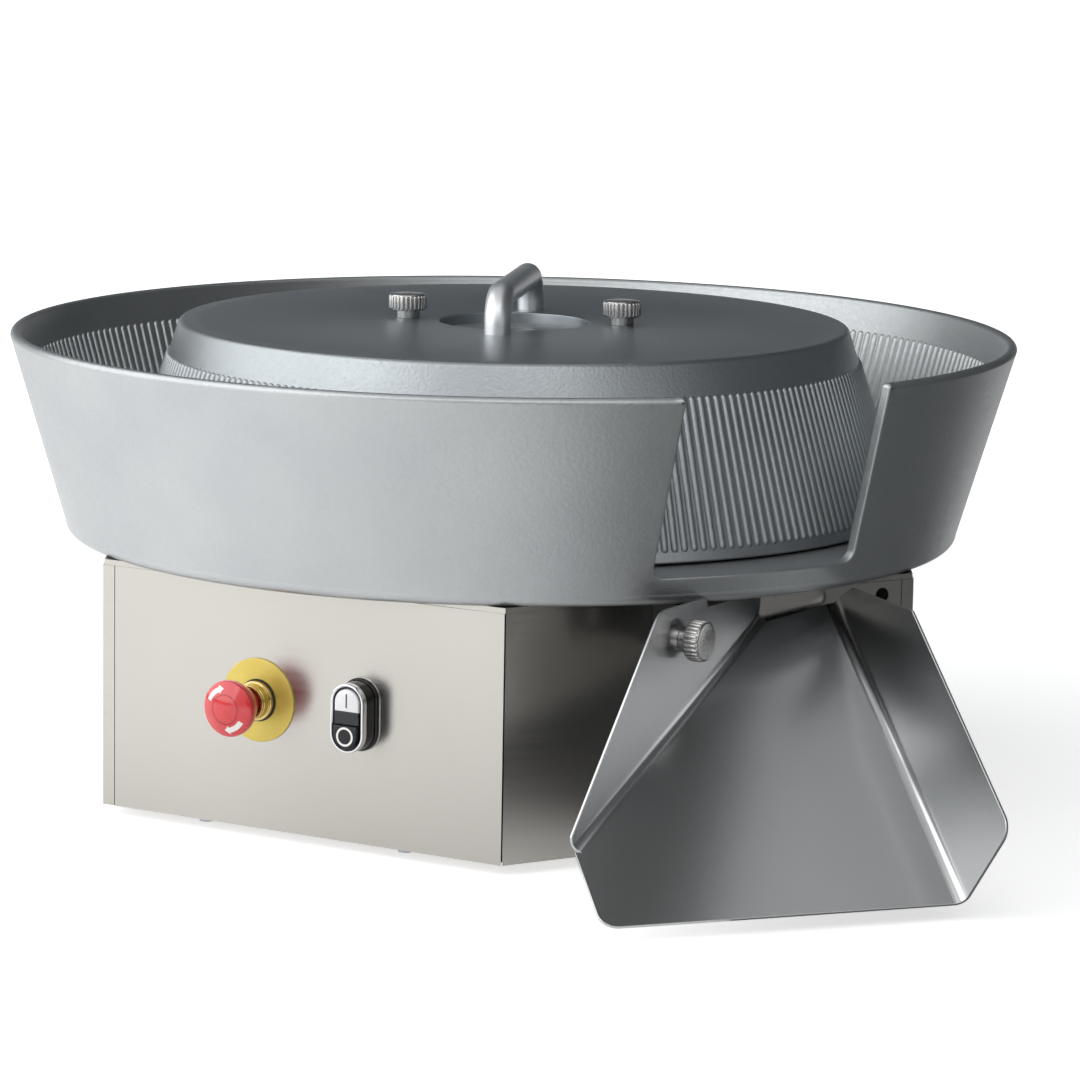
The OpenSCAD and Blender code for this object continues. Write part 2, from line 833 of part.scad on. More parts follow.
// Contacts behind the emergency stop
module estop_contact_block() {
    color("dimgray") on_panel(estop_x) difference() {
        translate([-estop_block[0] / 2, -estop_block[1] / 2, -estop_barrel - estop_block[2]])
            cube(estop_block);
        translate([0, 0, -estop_barrel - estop_travel - estop_tail_room])
            cylinder(d = estop_pivot + 3, h = estop_travel + estop_tail_room + over);
    }
}

// Sliding stem of the emergency stop
module estop_stem() {
    color("darkred") on_panel(estop_x) translate([0, 0, -estop_barrel - estop_tail])
        cylinder(d = estop_pivot, h = estop_tail + estop_barrel + estop_head_back + estop_socket);
}

// Red mushroom head of the emergency stop
module estop_head() {
    half = estop_head_diameter / 2;
    color("red") on_panel(estop_x) difference() {
        rotate_extrude() intersection() {
            polygon([
                [0, estop_head_back], [estop_waist, estop_head_back], [half, estop_head_front - estop_rim],
                [half, estop_head_front], [0, estop_head_front]]);
            translate([0, estop_head_front - estop_dome]) circle(r = estop_dome);
        }
        translate([0, 0, estop_head_back - over])
            cylinder(d = estop_pivot + 2 * run_gap, h = estop_socket + over);
    }
}

// Black body of the start and stop buttons
module twin_body() {
    flange = [twin_width, twin_height] + twin_flange[0] * [1, 1];
    color("black") on_panel(twin_x) difference() {
        union() {
            linear_extrude(twin_flange[1]) stadium(flange[0], flange[1]);
            linear_extrude(twin_step) stadium(twin_width, twin_height);
            linear_extrude(twin_depth - 2) stadium(twin_inner[0], twin_inner[1]);
            translate([0, 0, -twin_thread]) cylinder(d = twin_thread, h = twin_thread + over);
            translate([0, 0, -sheet - panel_nut[1]]) cylinder(d = panel_nut[0], h = panel_nut[1], $fn = 6);
        }
        translate([0, 0, twin_floor]) linear_extrude(twin_depth) stadium(twin_opening[0], twin_opening[1]);
        for (side = [-1, 1]) translate([0, side * plunger_offset, -2 * plunger_tail])
            cylinder(d = plunger + 2 * run_gap, h = twin_depth);
    }
}

// Chrome rim round the start and stop buttons
module twin_bezel() {
    color("lightgray") on_panel(twin_x) translate([0, 0, twin_step])
        linear_extrude(twin_depth - twin_step) difference() {
            stadium(twin_width, twin_height);
            stadium(twin_width - 2 * twin_rim, twin_height - 2 * twin_rim);
        }
}

// Opening of the buttons in plan, cut down to the side of one of them
module button_plan(side) {
    edge = lens_half + button_play;
    intersection() {
        stadium(button_cap[0], button_cap[1]);
        translate([-button_cap[0] / 2, side > 0 ? edge : -button_cap[1]])
            square([button_cap[0], button_cap[1] - edge]);
    }
}

// Lamp lens between the two buttons
module twin_lens() {
    color("darkslategray") on_panel(twin_x) translate([0, 0, twin_floor])
        linear_extrude(twin_depth - twin_floor) square([twin_opening[0], 2 * lens_half], center = true);
}

// Contacts behind the start and stop buttons
module twin_contact_block() {
    color("dimgray") on_panel(twin_x)
        translate([-twin_block[0] / 2, -twin_block[1] / 2, -twin_thread - twin_block[2]]) cube(twin_block);
}

// One push button on its plunger
module push_button(side, front) {
    on_panel(twin_x) {
        translate([0, 0, button_bottom]) linear_extrude(front - button_bottom) button_plan(side);
        translate([0, side * plunger_offset, -plunger_tail])
            cylinder(d = plunger, h = button_bottom + plunger_tail + over);
    }
}

// White start button
module start_button() {
    color("white") push_button(1, twin_depth);
}

// Black stop button
module stop_button() {
    color("black") push_button(-1, twin_depth + stop_proud);
}

// Distance along the chute panel of the ledge screws
function ledge_screw_s(i) = panel_s(
    floor_point(ledge_low[0] + ledge_screw_inset[0], ledge_low[1] + ledge_screw_inset[1])[0],
    floor_point(ledge_low[0] + ledge_screw_inset[0], ledge_low[1] + ledge_screw_inset[1])[1])
    + i * ledge_screw_pitch;

// A screw place along and up the chute panel, local Z pointing out of it
module on_chute_panel(along, up) {
    translate([panel_point(along, 0)[0], panel_point(along, 0)[1], up])
        rotate([0, 0, panel_heading]) rotate([0, 90, 0]) children();
}

// Places of the screws that hold the chute's brackets
module bracket_screw_places() {
    for (row = bracket_screw_rows)
        on_chute_panel(web_s + foot_leaf - bracket_screw_inset, chute_knob_z + row) children();
    for (i = [0, 1]) on_chute_panel(ledge_screw_s(i), ledge_screw_z) children();
}

// A hole straight through a leaf that lies on a panel, local Z pointing out
module through_leaf(diameter) {
    translate([0, 0, -over]) cylinder(d = diameter, h = leaf + 2 * over);
}

// Bent bracket and nut that the chute's thumb screw goes into
module chute_bracket() {
    reach = panel_n(leaf_end[0], leaf_end[1]);
    color("silver") difference() {
        union() {
            translate([0, 0, chute_knob_z - leaf_height / 2]) linear_extrude(leaf_height) {
                translate([leaf_end[0], chute_knob_y - leaf_half]) square([leaf, 2 * leaf_half]);
                rotate([0, 0, panel_heading]) translate([apothem, web_s - leaf]) {
                    square([reach + leaf, leaf]);
                    square([leaf, foot_leaf]);
                }
            }
            translate([leaf_end[0] - nut_height, chute_knob_y, chute_knob_z]) rotate([0, 90, 0])
                cylinder(r = nut_radius, h = nut_height + over, $fn = 6);
        }
        translate([leaf_end[0] - 2 * nut_height, chute_knob_y, chute_knob_z]) rotate([0, 90, 0])
            cylinder(d = stud_diameter + 2 * run_gap, h = 4 * nut_height);
        bracket_screw_places() through_leaf(bracket_hole);
    }
}

// Distance out from the chute panel of a plan point
function panel_n(x, y) = x * cos(panel_heading) + y * sin(panel_heading) - apothem;

// Angle under the top end of the chute floor
module chute_ledge() {
    color("silver") difference() {
        union() {
            intersection() {
                on_chute_floor() translate([ledge_low[0], ledge_low[1], -sheet - leaf])
                    cube([ledge_size[0], ledge_size[1], leaf]);
                rotate([0, 0, panel_heading]) translate([apothem + leaf / 2, -beyond, 0])
                    cube([beyond, 2 * beyond, rim_z]);
            }
            difference() {
                rotate([0, 0, panel_heading])
                    translate([apothem, ledge_screw_s(0), ledge_screw_z] - ledge_screw_inset[0] * [0, 1, 1])
                        cube([leaf, ledge_leaf[0], ledge_leaf[1]]);
                on_chute_floor() translate([-beyond / 2, -beyond / 2, -sheet - leaf / 2])
                    cube(beyond * [2, 2, 1]);
            }
        }
        bracket_screw_places() through_leaf(bracket_hole);
    }
}

// Screws of the chute's brackets
module bracket_screws() {
    color("lightgray") bracket_screw_places() {
        translate([0, 0, leaf]) cylinder(d = bracket_screw_head[0], h = bracket_screw_head[1]);
        translate([0, 0, -sheet - screw_bite])
            cylinder(d = bracket_screw, h = sheet + leaf + screw_bite + over);
    }
}

// Vertical drive shaft
module drive_shaft() {
    color("gray") difference() {
        union() {
            cylinder_from(gearbox_floor + over, lower_journal / 2, 2 * lower_bearing_size[1]);
            translate([0, 0, shaft_step_z]) cylinder(d = shaft_diameter, h = shaft_top_z - shaft_step_z);
        }
        key_ways(seat_gap);
        cylinder_from(shaft_top_z - hub_bolt_length - 2, hub_bolt / 2 + seat_gap, 2 * hub_bolt_length);
    }
}

// Keys of the hub and of the worm wheel
module key_ways(play) {
    for (z = [hub_seat_z - hub_thickness - hub_boss_height + 6, gear_z - key_length / 2]) {
        translate([shaft_diameter / 2 - key_size[1] / 2 - play, -key_size[0] / 2 - play, z - play])
            cube([key_size[1], key_size[0], key_length] + 2 * play * [1, 1, 1]);
    }
}

// Two keys on the drive shaft
module shaft_keys() {
    color("darkgray") key_ways(0);
}

// Bronze worm wheel
module worm_wheel() {
    color("peru") translate([0, 0, gear_z - wheel_width / 2]) difference() {
        linear_extrude(wheel_width) difference() {
            circle(r = wheel_radius);
            around(wheel_teeth, wheel_radius) circle(r = wheel_groove, $fn = 24);
            circle(d = shaft_diameter + 2 * seat_gap);
        }
        translate([0, 0, -gear_z + wheel_width / 2]) key_ways(seat_gap);
    }
}

// Hub that carries and centres the cone
module drive_hub() {
    color("lightgray") difference() {
        union() {
            translate([0, 0, hub_seat_z - hub_thickness]) cylinder(r = hub_radius, h = hub_thickness);
            cylinder_from(hub_seat_z - over, cone_hole / 2 - run_gap, hub_spigot + over);
            cylinder_from(hub_seat_z - hub_thickness - hub_boss_height, hub_boss_radius,
                hub_boss_height + over);
        }
        cylinder_from(0, shaft_diameter / 2 + seat_gap, shaft_top_z);
        cylinder_from(shaft_top_z - over, hub_recess_radius, cone_top_z);
        key_ways(seat_gap);
        rotate([0, 0, cone_phase]) for (side = [-1, 1])
            translate([side * knob_radius, 0, 0]) cylinder(d = stud_diameter + 2 * run_gap, h = cone_top_z);
    }
}

// A cylinder on the axis from a height upwards
module cylinder_from(z, radius, height) {
    translate([0, 0, z]) cylinder(r = radius, h = height);
}

// Washer and screw on top of the shaft
module hub_screw() {
    color("silver") difference() {
        union() {
            cylinder_from(shaft_top_z, hub_washer[0] / 2, hub_washer[1]);
            cylinder_from(shaft_top_z + hub_washer[1] - over, hub_bolt_head[0] / 2,
                hub_bolt_head[1] + 2 * over);
            cylinder_from(shaft_top_z - hub_bolt_length, hub_bolt / 2, hub_bolt_length + over);
        }
        translate([0, 0, shaft_top_z + hub_bolt_head[1]])
            cylinder(d = hub_bolt_hex, h = hub_bolt_length, $fn = 6);
    }
}

// Worm on the motor shaft
module worm_shaft() {
    color("gray") {
        along_worm(12 - gearbox_half) cylinder(d = worm_journal, h = gearbox_half + motor_end + 10);
        along_worm(-worm_length / 2) rotate_extrude() difference() {
            square([worm_radius, worm_length]);
            for (i = [0 : worm_teeth]) translate([worm_radius, (i + 0.5) * worm_pitch])
                circle(r = worm_groove, $fn = 24);
        }
    }
}

// Cooling fan on the end of the motor shaft
module motor_fan() {
    color("black") along_worm(motor_end + 3) difference() {
        union() {
            cylinder(r = fan_hub[0], h = fan_hub[1]);
            cylinder(r = fan_disc[0], h = fan_disc[1]);
            around(fan_blades, fan_hub[0] - 4) translate([0, -fan_blade[1] / 2, 0]) cube(fan_blade);
        }
        translate([0, 0, -over]) cylinder(d = worm_journal + 2 * seat_gap, h = fan_hub[1] + 2 * over);
    }
}

// Turned section of the cone without its ribs
module cone_section() {
    edge_z = cone_top_z - cone_edge;
    edge_r = cone_outside(edge_z) - cone_edge / cos(cone_slope);
    tangent_z = edge_z + cone_edge * sin(cone_slope);
    inner_z = cone_top_z - cone_top;
    difference() {
        union() {
            polygon([
                [0, cone_base_z], [cone_outside(cone_base_z), cone_base_z],
                [cone_outside(cone_rib_bottom), cone_rib_bottom],
                [cone_outside(cone_rib_bottom) - rib_bed, cone_rib_bottom],
                [cone_outside(cone_rib_top) - rib_bed, cone_rib_top],
                [cone_outside(cone_rib_top), cone_rib_top],
                [cone_outside(tangent_z), tangent_z], [edge_r, edge_z],
                [edge_r, cone_top_z], [0, cone_top_z]]);
            translate([edge_r, edge_z]) circle(r = cone_edge);
        }
        polygon([
            [0, cone_base_z - over], [cone_outside(cone_base_z - over) - cone_wall, cone_base_z - over],
            [cone_outside(inner_z) - cone_wall, inner_z], [0, inner_z]]);
        square([cone_hole / 2, cone_top_z + over]);
    }
}

// Ring of ribs round the cone
module cone_rib_ring() {
    height = cone_rib_top - cone_rib_bottom;
    low = cone_outside(cone_rib_bottom);
    high = cone_outside(cone_rib_top);
    bore = rib_bed + rib_root;
    difference() {
        linear_extrude(height, scale = high / low)
            polygon(ribbed_outline(cone_ribs, low + rib_step, low + rib_height));
        cylinder(r1 = low - bore, r2 = high - bore, h = height);
    }
}

// Hollow ribbed cone that rolls the dough
module cone() {
    color("slategray") rotate([0, 0, cone_phase]) difference() {
        union() {
            rotate_extrude() cone_section();
            translate([0, 0, cone_rib_bottom]) cone_rib_ring();
        }
        for (side = [-1, 1]) {
            translate([side * knob_radius, 0, 0])
                cylinder(d = stud_diameter + 2 * run_gap, h = cone_top_z + over);
            translate([0, side * handle_span / 2, 0])
                cylinder(d = handle_screw + 2 * run_gap, h = cone_top_z + over);
            translate([0, side * handle_span / 2, 0])
                cylinder(d = handle_screw_pocket[0], h = hub_seat_z + handle_screw_pocket[1]);
        }
    }
}

// Bent bar handle across the opening in the cone top
module cone_handle() {
    bend = handle_bend;
    half = handle_span / 2;
    axis_z = handle_height - handle_bar / 2;
    color("lightgray") translate([0, 0, cone_top_z]) rotate([0, 0, cone_phase]) difference() {
        union() {
            for (side = [0, 1]) mirror([0, side, 0]) {
                translate([0, half, 0]) cylinder(d = handle_bar, h = axis_z - bend);
                translate([0, half - bend, axis_z - bend]) rotate([90, 0, 90])
                    rotate_extrude(angle = 90) translate([bend, 0]) circle(d = handle_bar);
                translate([0, 0, axis_z]) rotate([-90, 0, 0]) cylinder(d = handle_bar, h = half - bend);
            }
        }
        for (side = [-1, 1]) translate([0, side * half, -over])
            cylinder(d = handle_screw + 2 * run_gap, h = handle_screw_bite + 2 + over);
    }
}

// Screws that hold the handle from below
module handle_screws() {
    color("silver") rotate([0, 0, cone_phase]) for (side = [-1, 1]) {
        translate([0, side * handle_span / 2, hub_seat_z + handle_screw_pocket[1] - handle_screw_head[1]])
            cylinder(d = handle_screw_head[0], h = handle_screw_head[1]);
        translate([0, side * handle_span / 2, hub_seat_z + handle_screw_pocket[1] - over])
            cylinder(d = handle_screw, h = cone_top - handle_screw_pocket[1] + over + handle_screw_bite);
    }
}

// Thumb screw: knurled head, collar and stud, local Z from the clamped face outwards
module thumb_screw(stud) {
    translate([0, 0, -stud]) cylinder(d = stud_diameter, h = stud + 1);
    cylinder(d = collar_diameter, h = collar_height);
    translate([0, 0, collar_height]) linear_extrude(knob_height) difference() {
        circle(d = knob_diameter);
        around(knurls, knob_diameter / 2 + knurl_inset) circle(r = knurl_radius, $fn = 24);
    }
}

// Thumb screw on one side of the cone top
module cone_knob(side) {
    color("silver") rotate([0, 0, cone_phase]) translate([side * knob_radius, 0, cone_top_z])
        thumb_screw(cone_top + hub_thickness - 2);
}

// Left thumb screw of the cone
module cone_knob_left() {
    cone_knob(-1);
}

// Right thumb screw of the cone
module cone_knob_right() {
    cone_knob(1);
}

// The chute floor's own plane: X along the lip, Y up the slope
module on_chute_floor() {
    translate([lip_left[0], lip_left[1], chute_lip])
        rotate([0, 0, lip_angle]) rotate([chute_slope, 0, 0]) children();
}

// Rounds one outward corner of a flat outline, given with its two neighbours
module round_corner(before, corner, after, radius) {
    toward = (before - corner) / norm(before - corner);
    away = (after - corner) / norm(after - corner);
    half = acos(toward * away) / 2;
    middle = (toward + away) / norm(toward + away);
    reach = radius / tan(half);
    difference() {
        children();
        difference() {
            polygon([corner, corner + reach * toward, corner + reach * away]);
            translate(corner + radius / sin(half) * middle) circle(r = radius);
        }
    }
}

// Bent sheet chute: floor, left wing on the bracket and raised right wing
module chute() {
    fold_length = norm([fold_top_u, fold_top_v - chute_cheek]);
    color("silver") difference() {
        union() {
            on_chute_floor() translate([0, 0, -sheet]) linear_extrude(sheet) floor_outline();
            on_chute_floor() translate([0, chute_cheek, -sheet / 2])
                rotate([0, 0, atan(fold_rate)]) rotate([0, 90, 0]) cylinder(d = sheet, h = fold_length);
            on_chute_floor() translate([chute_width, 0, -sheet / 2]) rotate([-90, 0, 0])
                cylinder(d = sheet, h = chute_length);
            on_chute_floor() translate([chute_width, 0, -sheet / 2]) rotate([0, -wing_tilt, 0])
                translate([0, 0, -sheet / 2]) linear_extrude(sheet) right_wing_outline();
            translate([wing_x - sheet, 0, 0]) rotate([90, 0, 90]) linear_extrude(sheet) left_wing_outline();
        }
        translate([wing_x - 2 * sheet, chute_knob_y, chute_knob_z]) rotate([0, 90, 0])
            cylinder(d = stud_diameter + 2 * run_gap, h = 4 * sheet);
    }
}

// Floor of the chute in its own plane
module floor_outline() {
    round_corner([0, chute_cheek], [0, 0], [chute_width, 0], corner_round) polygon([
        [0, 0], [chute_width, 0], [chute_width, chute_length], [fold_top_u, fold_top_v], [0, chute_cheek]]);
}

// Right wing, X up from the fold and Y up the slope
module right_wing_outline() {
    shoulder = [wing_height, chute_length - wing_shoulder_run];
    round_corner([0, 0], [wing_height, 0], shoulder, corner_round) polygon([
        [0, 0], [wing_height, 0], shoulder,
        [wing_back_height, chute_length - wing_back_run], [0, chute_length]]);
}

// Left wing, X along the part's Y and Y up
module left_wing_outline() {
    foot = [wing_low_y - 2, wing_low_z + 4];
    round_corner(foot, wing_corner, wing_shoulder, wing_round) polygon([
        [wing_low_y, wing_low_z - sheet], foot, wing_corner, wing_shoulder,
        [wing_shoulder[0] + wing_step, wing_back_z], [fold_top_y, wing_back_z],
        [fold_top_y, fold_top_z - sheet]]);
}

// Thumb screw that holds the chute
module chute_knob() {
    color("silver") translate([wing_x, chute_knob_y, chute_knob_z]) rotate([0, 90, 0])
        thumb_screw(sheet + leaf + nut_height + 4);
}

base_pan();
rubber_feet();
foot_bolts();
control_panel();
chute_panel();
body_shell();
deck_plate();
deck_screws();
panel_screws();
bowl();
bowl_screws();
gearbox_housing();
gearbox_cover();
gearbox_bolts();
upper_bearing();
lower_bearing();
shaft_seal();
motor_body();
motor_fan_cover();
motor_terminal_box();
din_rail();
contactor();
cable_gland();
estop_plate();
estop_collar();
estop_contact_block();
twin_body();
twin_bezel();
twin_lens();
twin_contact_block();
chute_bracket();
chute_ledge();
bracket_screws();
drive_shaft();
worm_wheel();
shaft_keys();
drive_hub();
hub_screw();
worm_shaft();
motor_fan();
cone();
cone_handle();
handle_screws();
cone_knob_left();
cone_knob_right();
estop_stem();
estop_head();
start_button();
stop_button();
chute();
chute_knob();
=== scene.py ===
"""Studio scene of a countertop conical dough rounder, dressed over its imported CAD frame.

Sizes are in millimetres in the part's own frame: the origin is on the bowl axis at table level,
Z points up and the control panel faces -Y.
"""

import logging
import math
from dataclasses import dataclass, field
from enum import Enum
from typing import Any, Iterable, Sequence

import bmesh
import bpy
from mathutils import Matrix, Vector

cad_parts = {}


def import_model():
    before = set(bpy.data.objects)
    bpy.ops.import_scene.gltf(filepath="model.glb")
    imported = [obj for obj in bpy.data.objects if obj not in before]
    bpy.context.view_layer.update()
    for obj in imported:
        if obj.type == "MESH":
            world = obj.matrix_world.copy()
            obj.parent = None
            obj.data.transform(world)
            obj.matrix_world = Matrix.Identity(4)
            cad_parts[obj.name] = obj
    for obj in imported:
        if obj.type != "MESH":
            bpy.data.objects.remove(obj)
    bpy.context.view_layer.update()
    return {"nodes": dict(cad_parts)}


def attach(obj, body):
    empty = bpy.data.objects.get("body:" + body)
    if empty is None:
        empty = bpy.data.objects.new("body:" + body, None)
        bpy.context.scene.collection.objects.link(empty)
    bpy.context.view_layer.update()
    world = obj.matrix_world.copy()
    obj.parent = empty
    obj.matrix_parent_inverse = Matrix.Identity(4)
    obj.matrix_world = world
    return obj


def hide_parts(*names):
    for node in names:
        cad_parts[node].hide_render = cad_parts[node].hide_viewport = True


MM = 0.001
LOG = logging.getLogger("dough_rounder")
Flat = tuple[float, float]
Spot = tuple[float, float, float]
# Height of the deck that carries the bowl.
DECK = 188.0
# Steps that a rib's rounded ends and its round back are cut into.
NOSE_STEPS, BACK_STEPS = 4, 6


def linear(colour: str) -> tuple[float, float, float, float]:
    """Turns an sRGB hex colour into linear light.

    Args:
        colour: a hash sign and six hex digits.

    Returns:
        Linear red, green and blue, and an alpha of 1.
    """
    parts = [int(colour[i:i + 2], 16) / 255 for i in (1, 3, 5)]
    red, green, blue = (c / 12.92 if c <= 0.04045 else ((c + 0.055) / 1.055) ** 2.4 for c in parts)
    return red, green, blue, 1.0


def add(tree: bpy.types.NodeTree, kind: str, inputs: dict[Any, Any] | None = None,
        **settings: Any) -> bpy.types.Node:
    """Adds one node with its settings, and fills or links its inputs.

    Args:
        tree: the node tree that gets the node.
        kind: Blender's name of the node type.
        inputs: a value, or a socket to link, for each input by name or index.
        **settings: the node's own properties.

    Returns:
        The new node.
    """
    node = tree.nodes.new(kind)
    for name, value in settings.items():
        setattr(node, name, value)
    for key, value in (inputs or {}).items():
        if isinstance(value, bpy.types.NodeSocket):
            tree.links.new(value, node.inputs[key])
        else:
            node.inputs[key].default_value = value
    return node


def bare_tree(owner: bpy.types.Material | bpy.types.World) -> bpy.types.NodeTree:
    """Empties the node tree of a material or world.

    Args:
        owner: the material or world.

    Returns:
        Its tree, without nodes.
    """
    owner.use_nodes = True
    owner.node_tree.nodes.clear()
    return owner.node_tree


def placed(name: str, data: bpy.types.ID) -> bpy.types.Object:
    """Adds an object to the scene.

    Args:
        name: the object's name.
        data: its mesh, light or camera.

    Returns:
        The object, at the origin.
    """
    thing = bpy.data.objects.new(name, data)
    bpy.context.scene.collection.objects.link(thing)
    return thing


def quarter(steps: int) -> list[float]:
    """Gives the angles of a quarter turn, cut into equal steps."""
    return [math.pi / 2 * k / steps for k in range(steps + 1)]


class Grain(Enum):
    """How a surface was worked: the stretch of its fine pattern along its own three axes."""

    LEVEL = (0.006, 0.006, 1.0)
    ALONG = (0.008, 1.0, 1.0)
    BLASTED = (1.0, 1.0, 1.0)


@dataclass(frozen=True)
class Finish:
    """A surface: its colours, how it takes light and the fine pattern that its making left."""

    name: str
    colour: str
    shade: str
    roughness: float
    metallic: float = 1.0
    grain: Grain = Grain.BLASTED
    grain_mm: float = 1.2
    bump_mm: float = 0.01
    spread: float = 0.05
    patch_mm: float = 90.0
    anisotropy: float = 0.0
    coat: float = 0.0
    specular: float = 0.5
    turn: Spot = (0.0, 0.0, 0.0)

    def material(self) -> bpy.types.Material:
        """Gives the finish's material, made once."""
        return bpy.data.materials.get(self.name) or self.mix()

    def mix(self) -> bpy.types.Material:
        """Builds the node tree: a slow colour change, and a fine pattern in gloss and relief.

        Returns:
            The new material.
        """
        material = bpy.data.materials.new(self.name)
        tree = bare_tree(material)
        contrast = {"From Min": 0.3, "From Max": 0.7}
        place = add(tree, "ShaderNodeTexCoord").outputs["Object"]
        turned = add(tree, "ShaderNodeMapping", {
            "Vector": place, "Rotation": [math.radians(a) for a in self.turn]}).outputs[0]
        run = add(tree, "ShaderNodeMapping", {
            "Vector": turned,
            "Scale": [s * 1000 / self.grain_mm for s in self.grain.value]}).outputs[0]
        fine = add(tree, "ShaderNodeTexNoise", {
            "Vector": run, "Scale": 1.0, "Detail": 3.0, "Roughness": 0.6}).outputs["Fac"]
        slow = add(tree, "ShaderNodeTexNoise", {
            "Vector": place, "Scale": 1000 / self.patch_mm, "Detail": 2.0}).outputs["Fac"]
        tone = add(tree, "ShaderNodeMapRange", {"Value": slow, **contrast}).outputs["Result"]
        gloss = add(tree, "ShaderNodeMapRange", {
            "Value": fine, **contrast,
            "To Min": self.roughness - self.spread, "To Max": self.roughness + self.spread})
        paint = add(tree, "ShaderNodeMix", {
            0: tone, 6: linear(self.colour), 7: linear(self.shade)}, data_type="RGBA")
        relief = add(tree, "ShaderNodeBump", {
            "Strength": 1.0, "Distance": self.bump_mm * MM, "Height": fine})
        surface = add(tree, "ShaderNodeBsdfPrincipled", {
            "Base Color": paint.outputs[2], "Metallic": self.metallic,
            "Roughness": gloss.outputs["Result"], "Normal": relief.outputs["Normal"],
            "Anisotropic": self.anisotropy, "Anisotropic Rotation": 0.25,
            "Specular IOR Level": self.specular,
            "Coat Weight": self.coat, "Coat Roughness": 0.04})
        add(tree, "ShaderNodeOutputMaterial", {"Surface": surface.outputs["BSDF"]})
        return material


# Cast aluminium, bead-blasted: a pale even satin with a pebble and no clear reflections. The pebble
# is drawn at three times its real size, so that it still shows at the picture's scale.
CAST_BOWL = Finish("bead_blasted_aluminium", "#abaeaf", "#a4a7a9", 0.44, grain_mm=3.2, bump_mm=0.16)
# The same casting on the cone, its colour painted a little darker than the bowl's as painted shade,
# so that it goes slate away from light.
CAST_CONE_PAINTED_SHADE = Finish("bead_blasted_aluminium_cone_painted_shade", "#9ea3a6", "#979c9f", 0.42, grain_mm=2.4,
                   bump_mm=0.24)
# Cone top, blasted after turning: the same pebble, flatter, so that it mirrors the dim back softly.
# Its colour is painted darker and bluer than the bowl's as painted shade.
BLASTED_TOP_PAINTED_SHADE = Finish("bead_blasted_aluminium_top_painted_shade", "#999fa4", "#93999e", 0.36, grain_mm=2.8,
                     bump_mm=0.07, spread=0.03)
# Stainless sheet brushed level: warm grey, reflections smear upright across the brush lines.
BRUSHED_PANEL = Finish("brushed_stainless_panel", "#b1aea9", "#aaa7a2", 0.25, grain=Grain.LEVEL,
                       grain_mm=1.2, bump_mm=0.0005, spread=0.02, anisotropy=0.6, patch_mm=260)
# Stainless sheet with the mill's satin face: cooler and softer, faint lines down the slope.
SATIN_CHUTE = Finish("satin_stainless_chute", "#bcbdbd", "#b5b6b7", 0.23, grain=Grain.ALONG,
                     grain_mm=1.2, bump_mm=0.0003, spread=0.005, turn=(0.0, 0.0, 41.0),
                     patch_mm=180)
# Drawn stainless bar, polished after bending: light grey with a soft bright line.
HANDLE_BAR = Finish("satin_stainless_bar", "#d3d6d8", "#cbced1", 0.42, grain_mm=0.9, bump_mm=0.006)
# Turned stainless: bright crests and dark grooves.
TURNED_STEEL = Finish("turned_stainless", "#b5b4b2", "#a7a6a4", 0.24, grain_mm=0.8, bump_mm=0.002,
                      patch_mm=12)
# Zinc plate on screws and rail: bluish, slightly cloudy.
ZINC_PLATE = Finish("zinc_plated_steel", "#a9aeb4", "#979ca3", 0.34, grain_mm=0.8, bump_mm=0.008,
                    patch_mm=9)
# Steel of the chute's bracket and ledge, coloured near black as painted shade, with a soft sheen,
# so they sink into the gap.
STEEL_PAINTED_SHADE = Finish("steel_painted_shade", "#2c2d2f", "#343537", 0.38, metallic=0.7, grain_mm=1.2,
                       bump_mm=0.006)
# Cast iron gear case with grey enamel: low gloss, lumpy from the sand mould.
CAST_IRON = Finish("enamelled_cast_iron", "#4c545b", "#434a51", 0.5, metallic=0.0, grain_mm=4,
                   bump_mm=0.12)
# Ground bearing steel and shafts: bright and tight.
GROUND_STEEL = Finish("ground_steel", "#b9bbbd", "#adafb2", 0.18, grain_mm=0.7, bump_mm=0.003)
# Gear bronze: warm brown-gold, machined.
GEAR_BRONZE = Finish("machined_bronze", "#b07a3c", "#9c6a33", 0.3, grain_mm=0.9, bump_mm=0.006)
# Moulded rubber of feet and seal: near black, matt, faint bloom.
RUBBER = Finish("moulded_rubber", "#1c1c1d", "#262627", 0.75, metallic=0.0, grain_mm=1.0,
                bump_mm=0.02, patch_mm=14)
# Motor enamel: dark blue-grey, even orange peel.
MOTOR_PAINT = Finish("motor_enamel", "#3b434b", "#353c44", 0.42, metallic=0.0, grain_mm=2.0,
                     bump_mm=0.03)
# Moulded black nylon: fine spark texture, low sheen.
BLACK_NYLON = Finish("moulded_black_nylon", "#17181a", "#1e1f21", 0.5, metallic=0.0, grain_mm=0.8,
                     bump_mm=0.012, patch_mm=18)
# Moulded grey switchgear plastic.
GREY_ABS = Finish("moulded_grey_abs", "#b9bcbd", "#b1b4b5", 0.48, metallic=0.0, grain_mm=0.8,
                  bump_mm=0.01, patch_mm=20)
# Gloss black plastic of the button housing: piano-black, mirror sharp.
GLOSS_BLACK = Finish("polished_black_abs", "#0b0b0c", "#101012", 0.12, metallic=0.0, grain_mm=2.5,
                     bump_mm=0.002, spread=0.02, patch_mm=20, specular=0.3)
# Matt lower button face, a shade lighter than its housing.
STOP_BLACK = Finish("satin_black_abs", "#17181a", "#1c1d1f", 0.3, metallic=0.0, grain_mm=0.8,
                    bump_mm=0.004, patch_mm=16, specular=0.3)
# Yellow anodised plate: satin, metal shows through the dye.
YELLOW_PLATE = Finish("yellow_anodised_plate", "#cdb95f", "#c3ae53", 0.36, metallic=0.5,
                      grain_mm=0.9, bump_mm=0.005, patch_mm=25)
# Red switch cap: glossy injection-moulded plastic under a clear skin.
RED_CAP = Finish("polished_red_plastic", "#cf2129", "#c51d25", 0.22, metallic=0.0, grain_mm=3,
                 bump_mm=0.004, spread=0.03, patch_mm=20, coat=0.6)
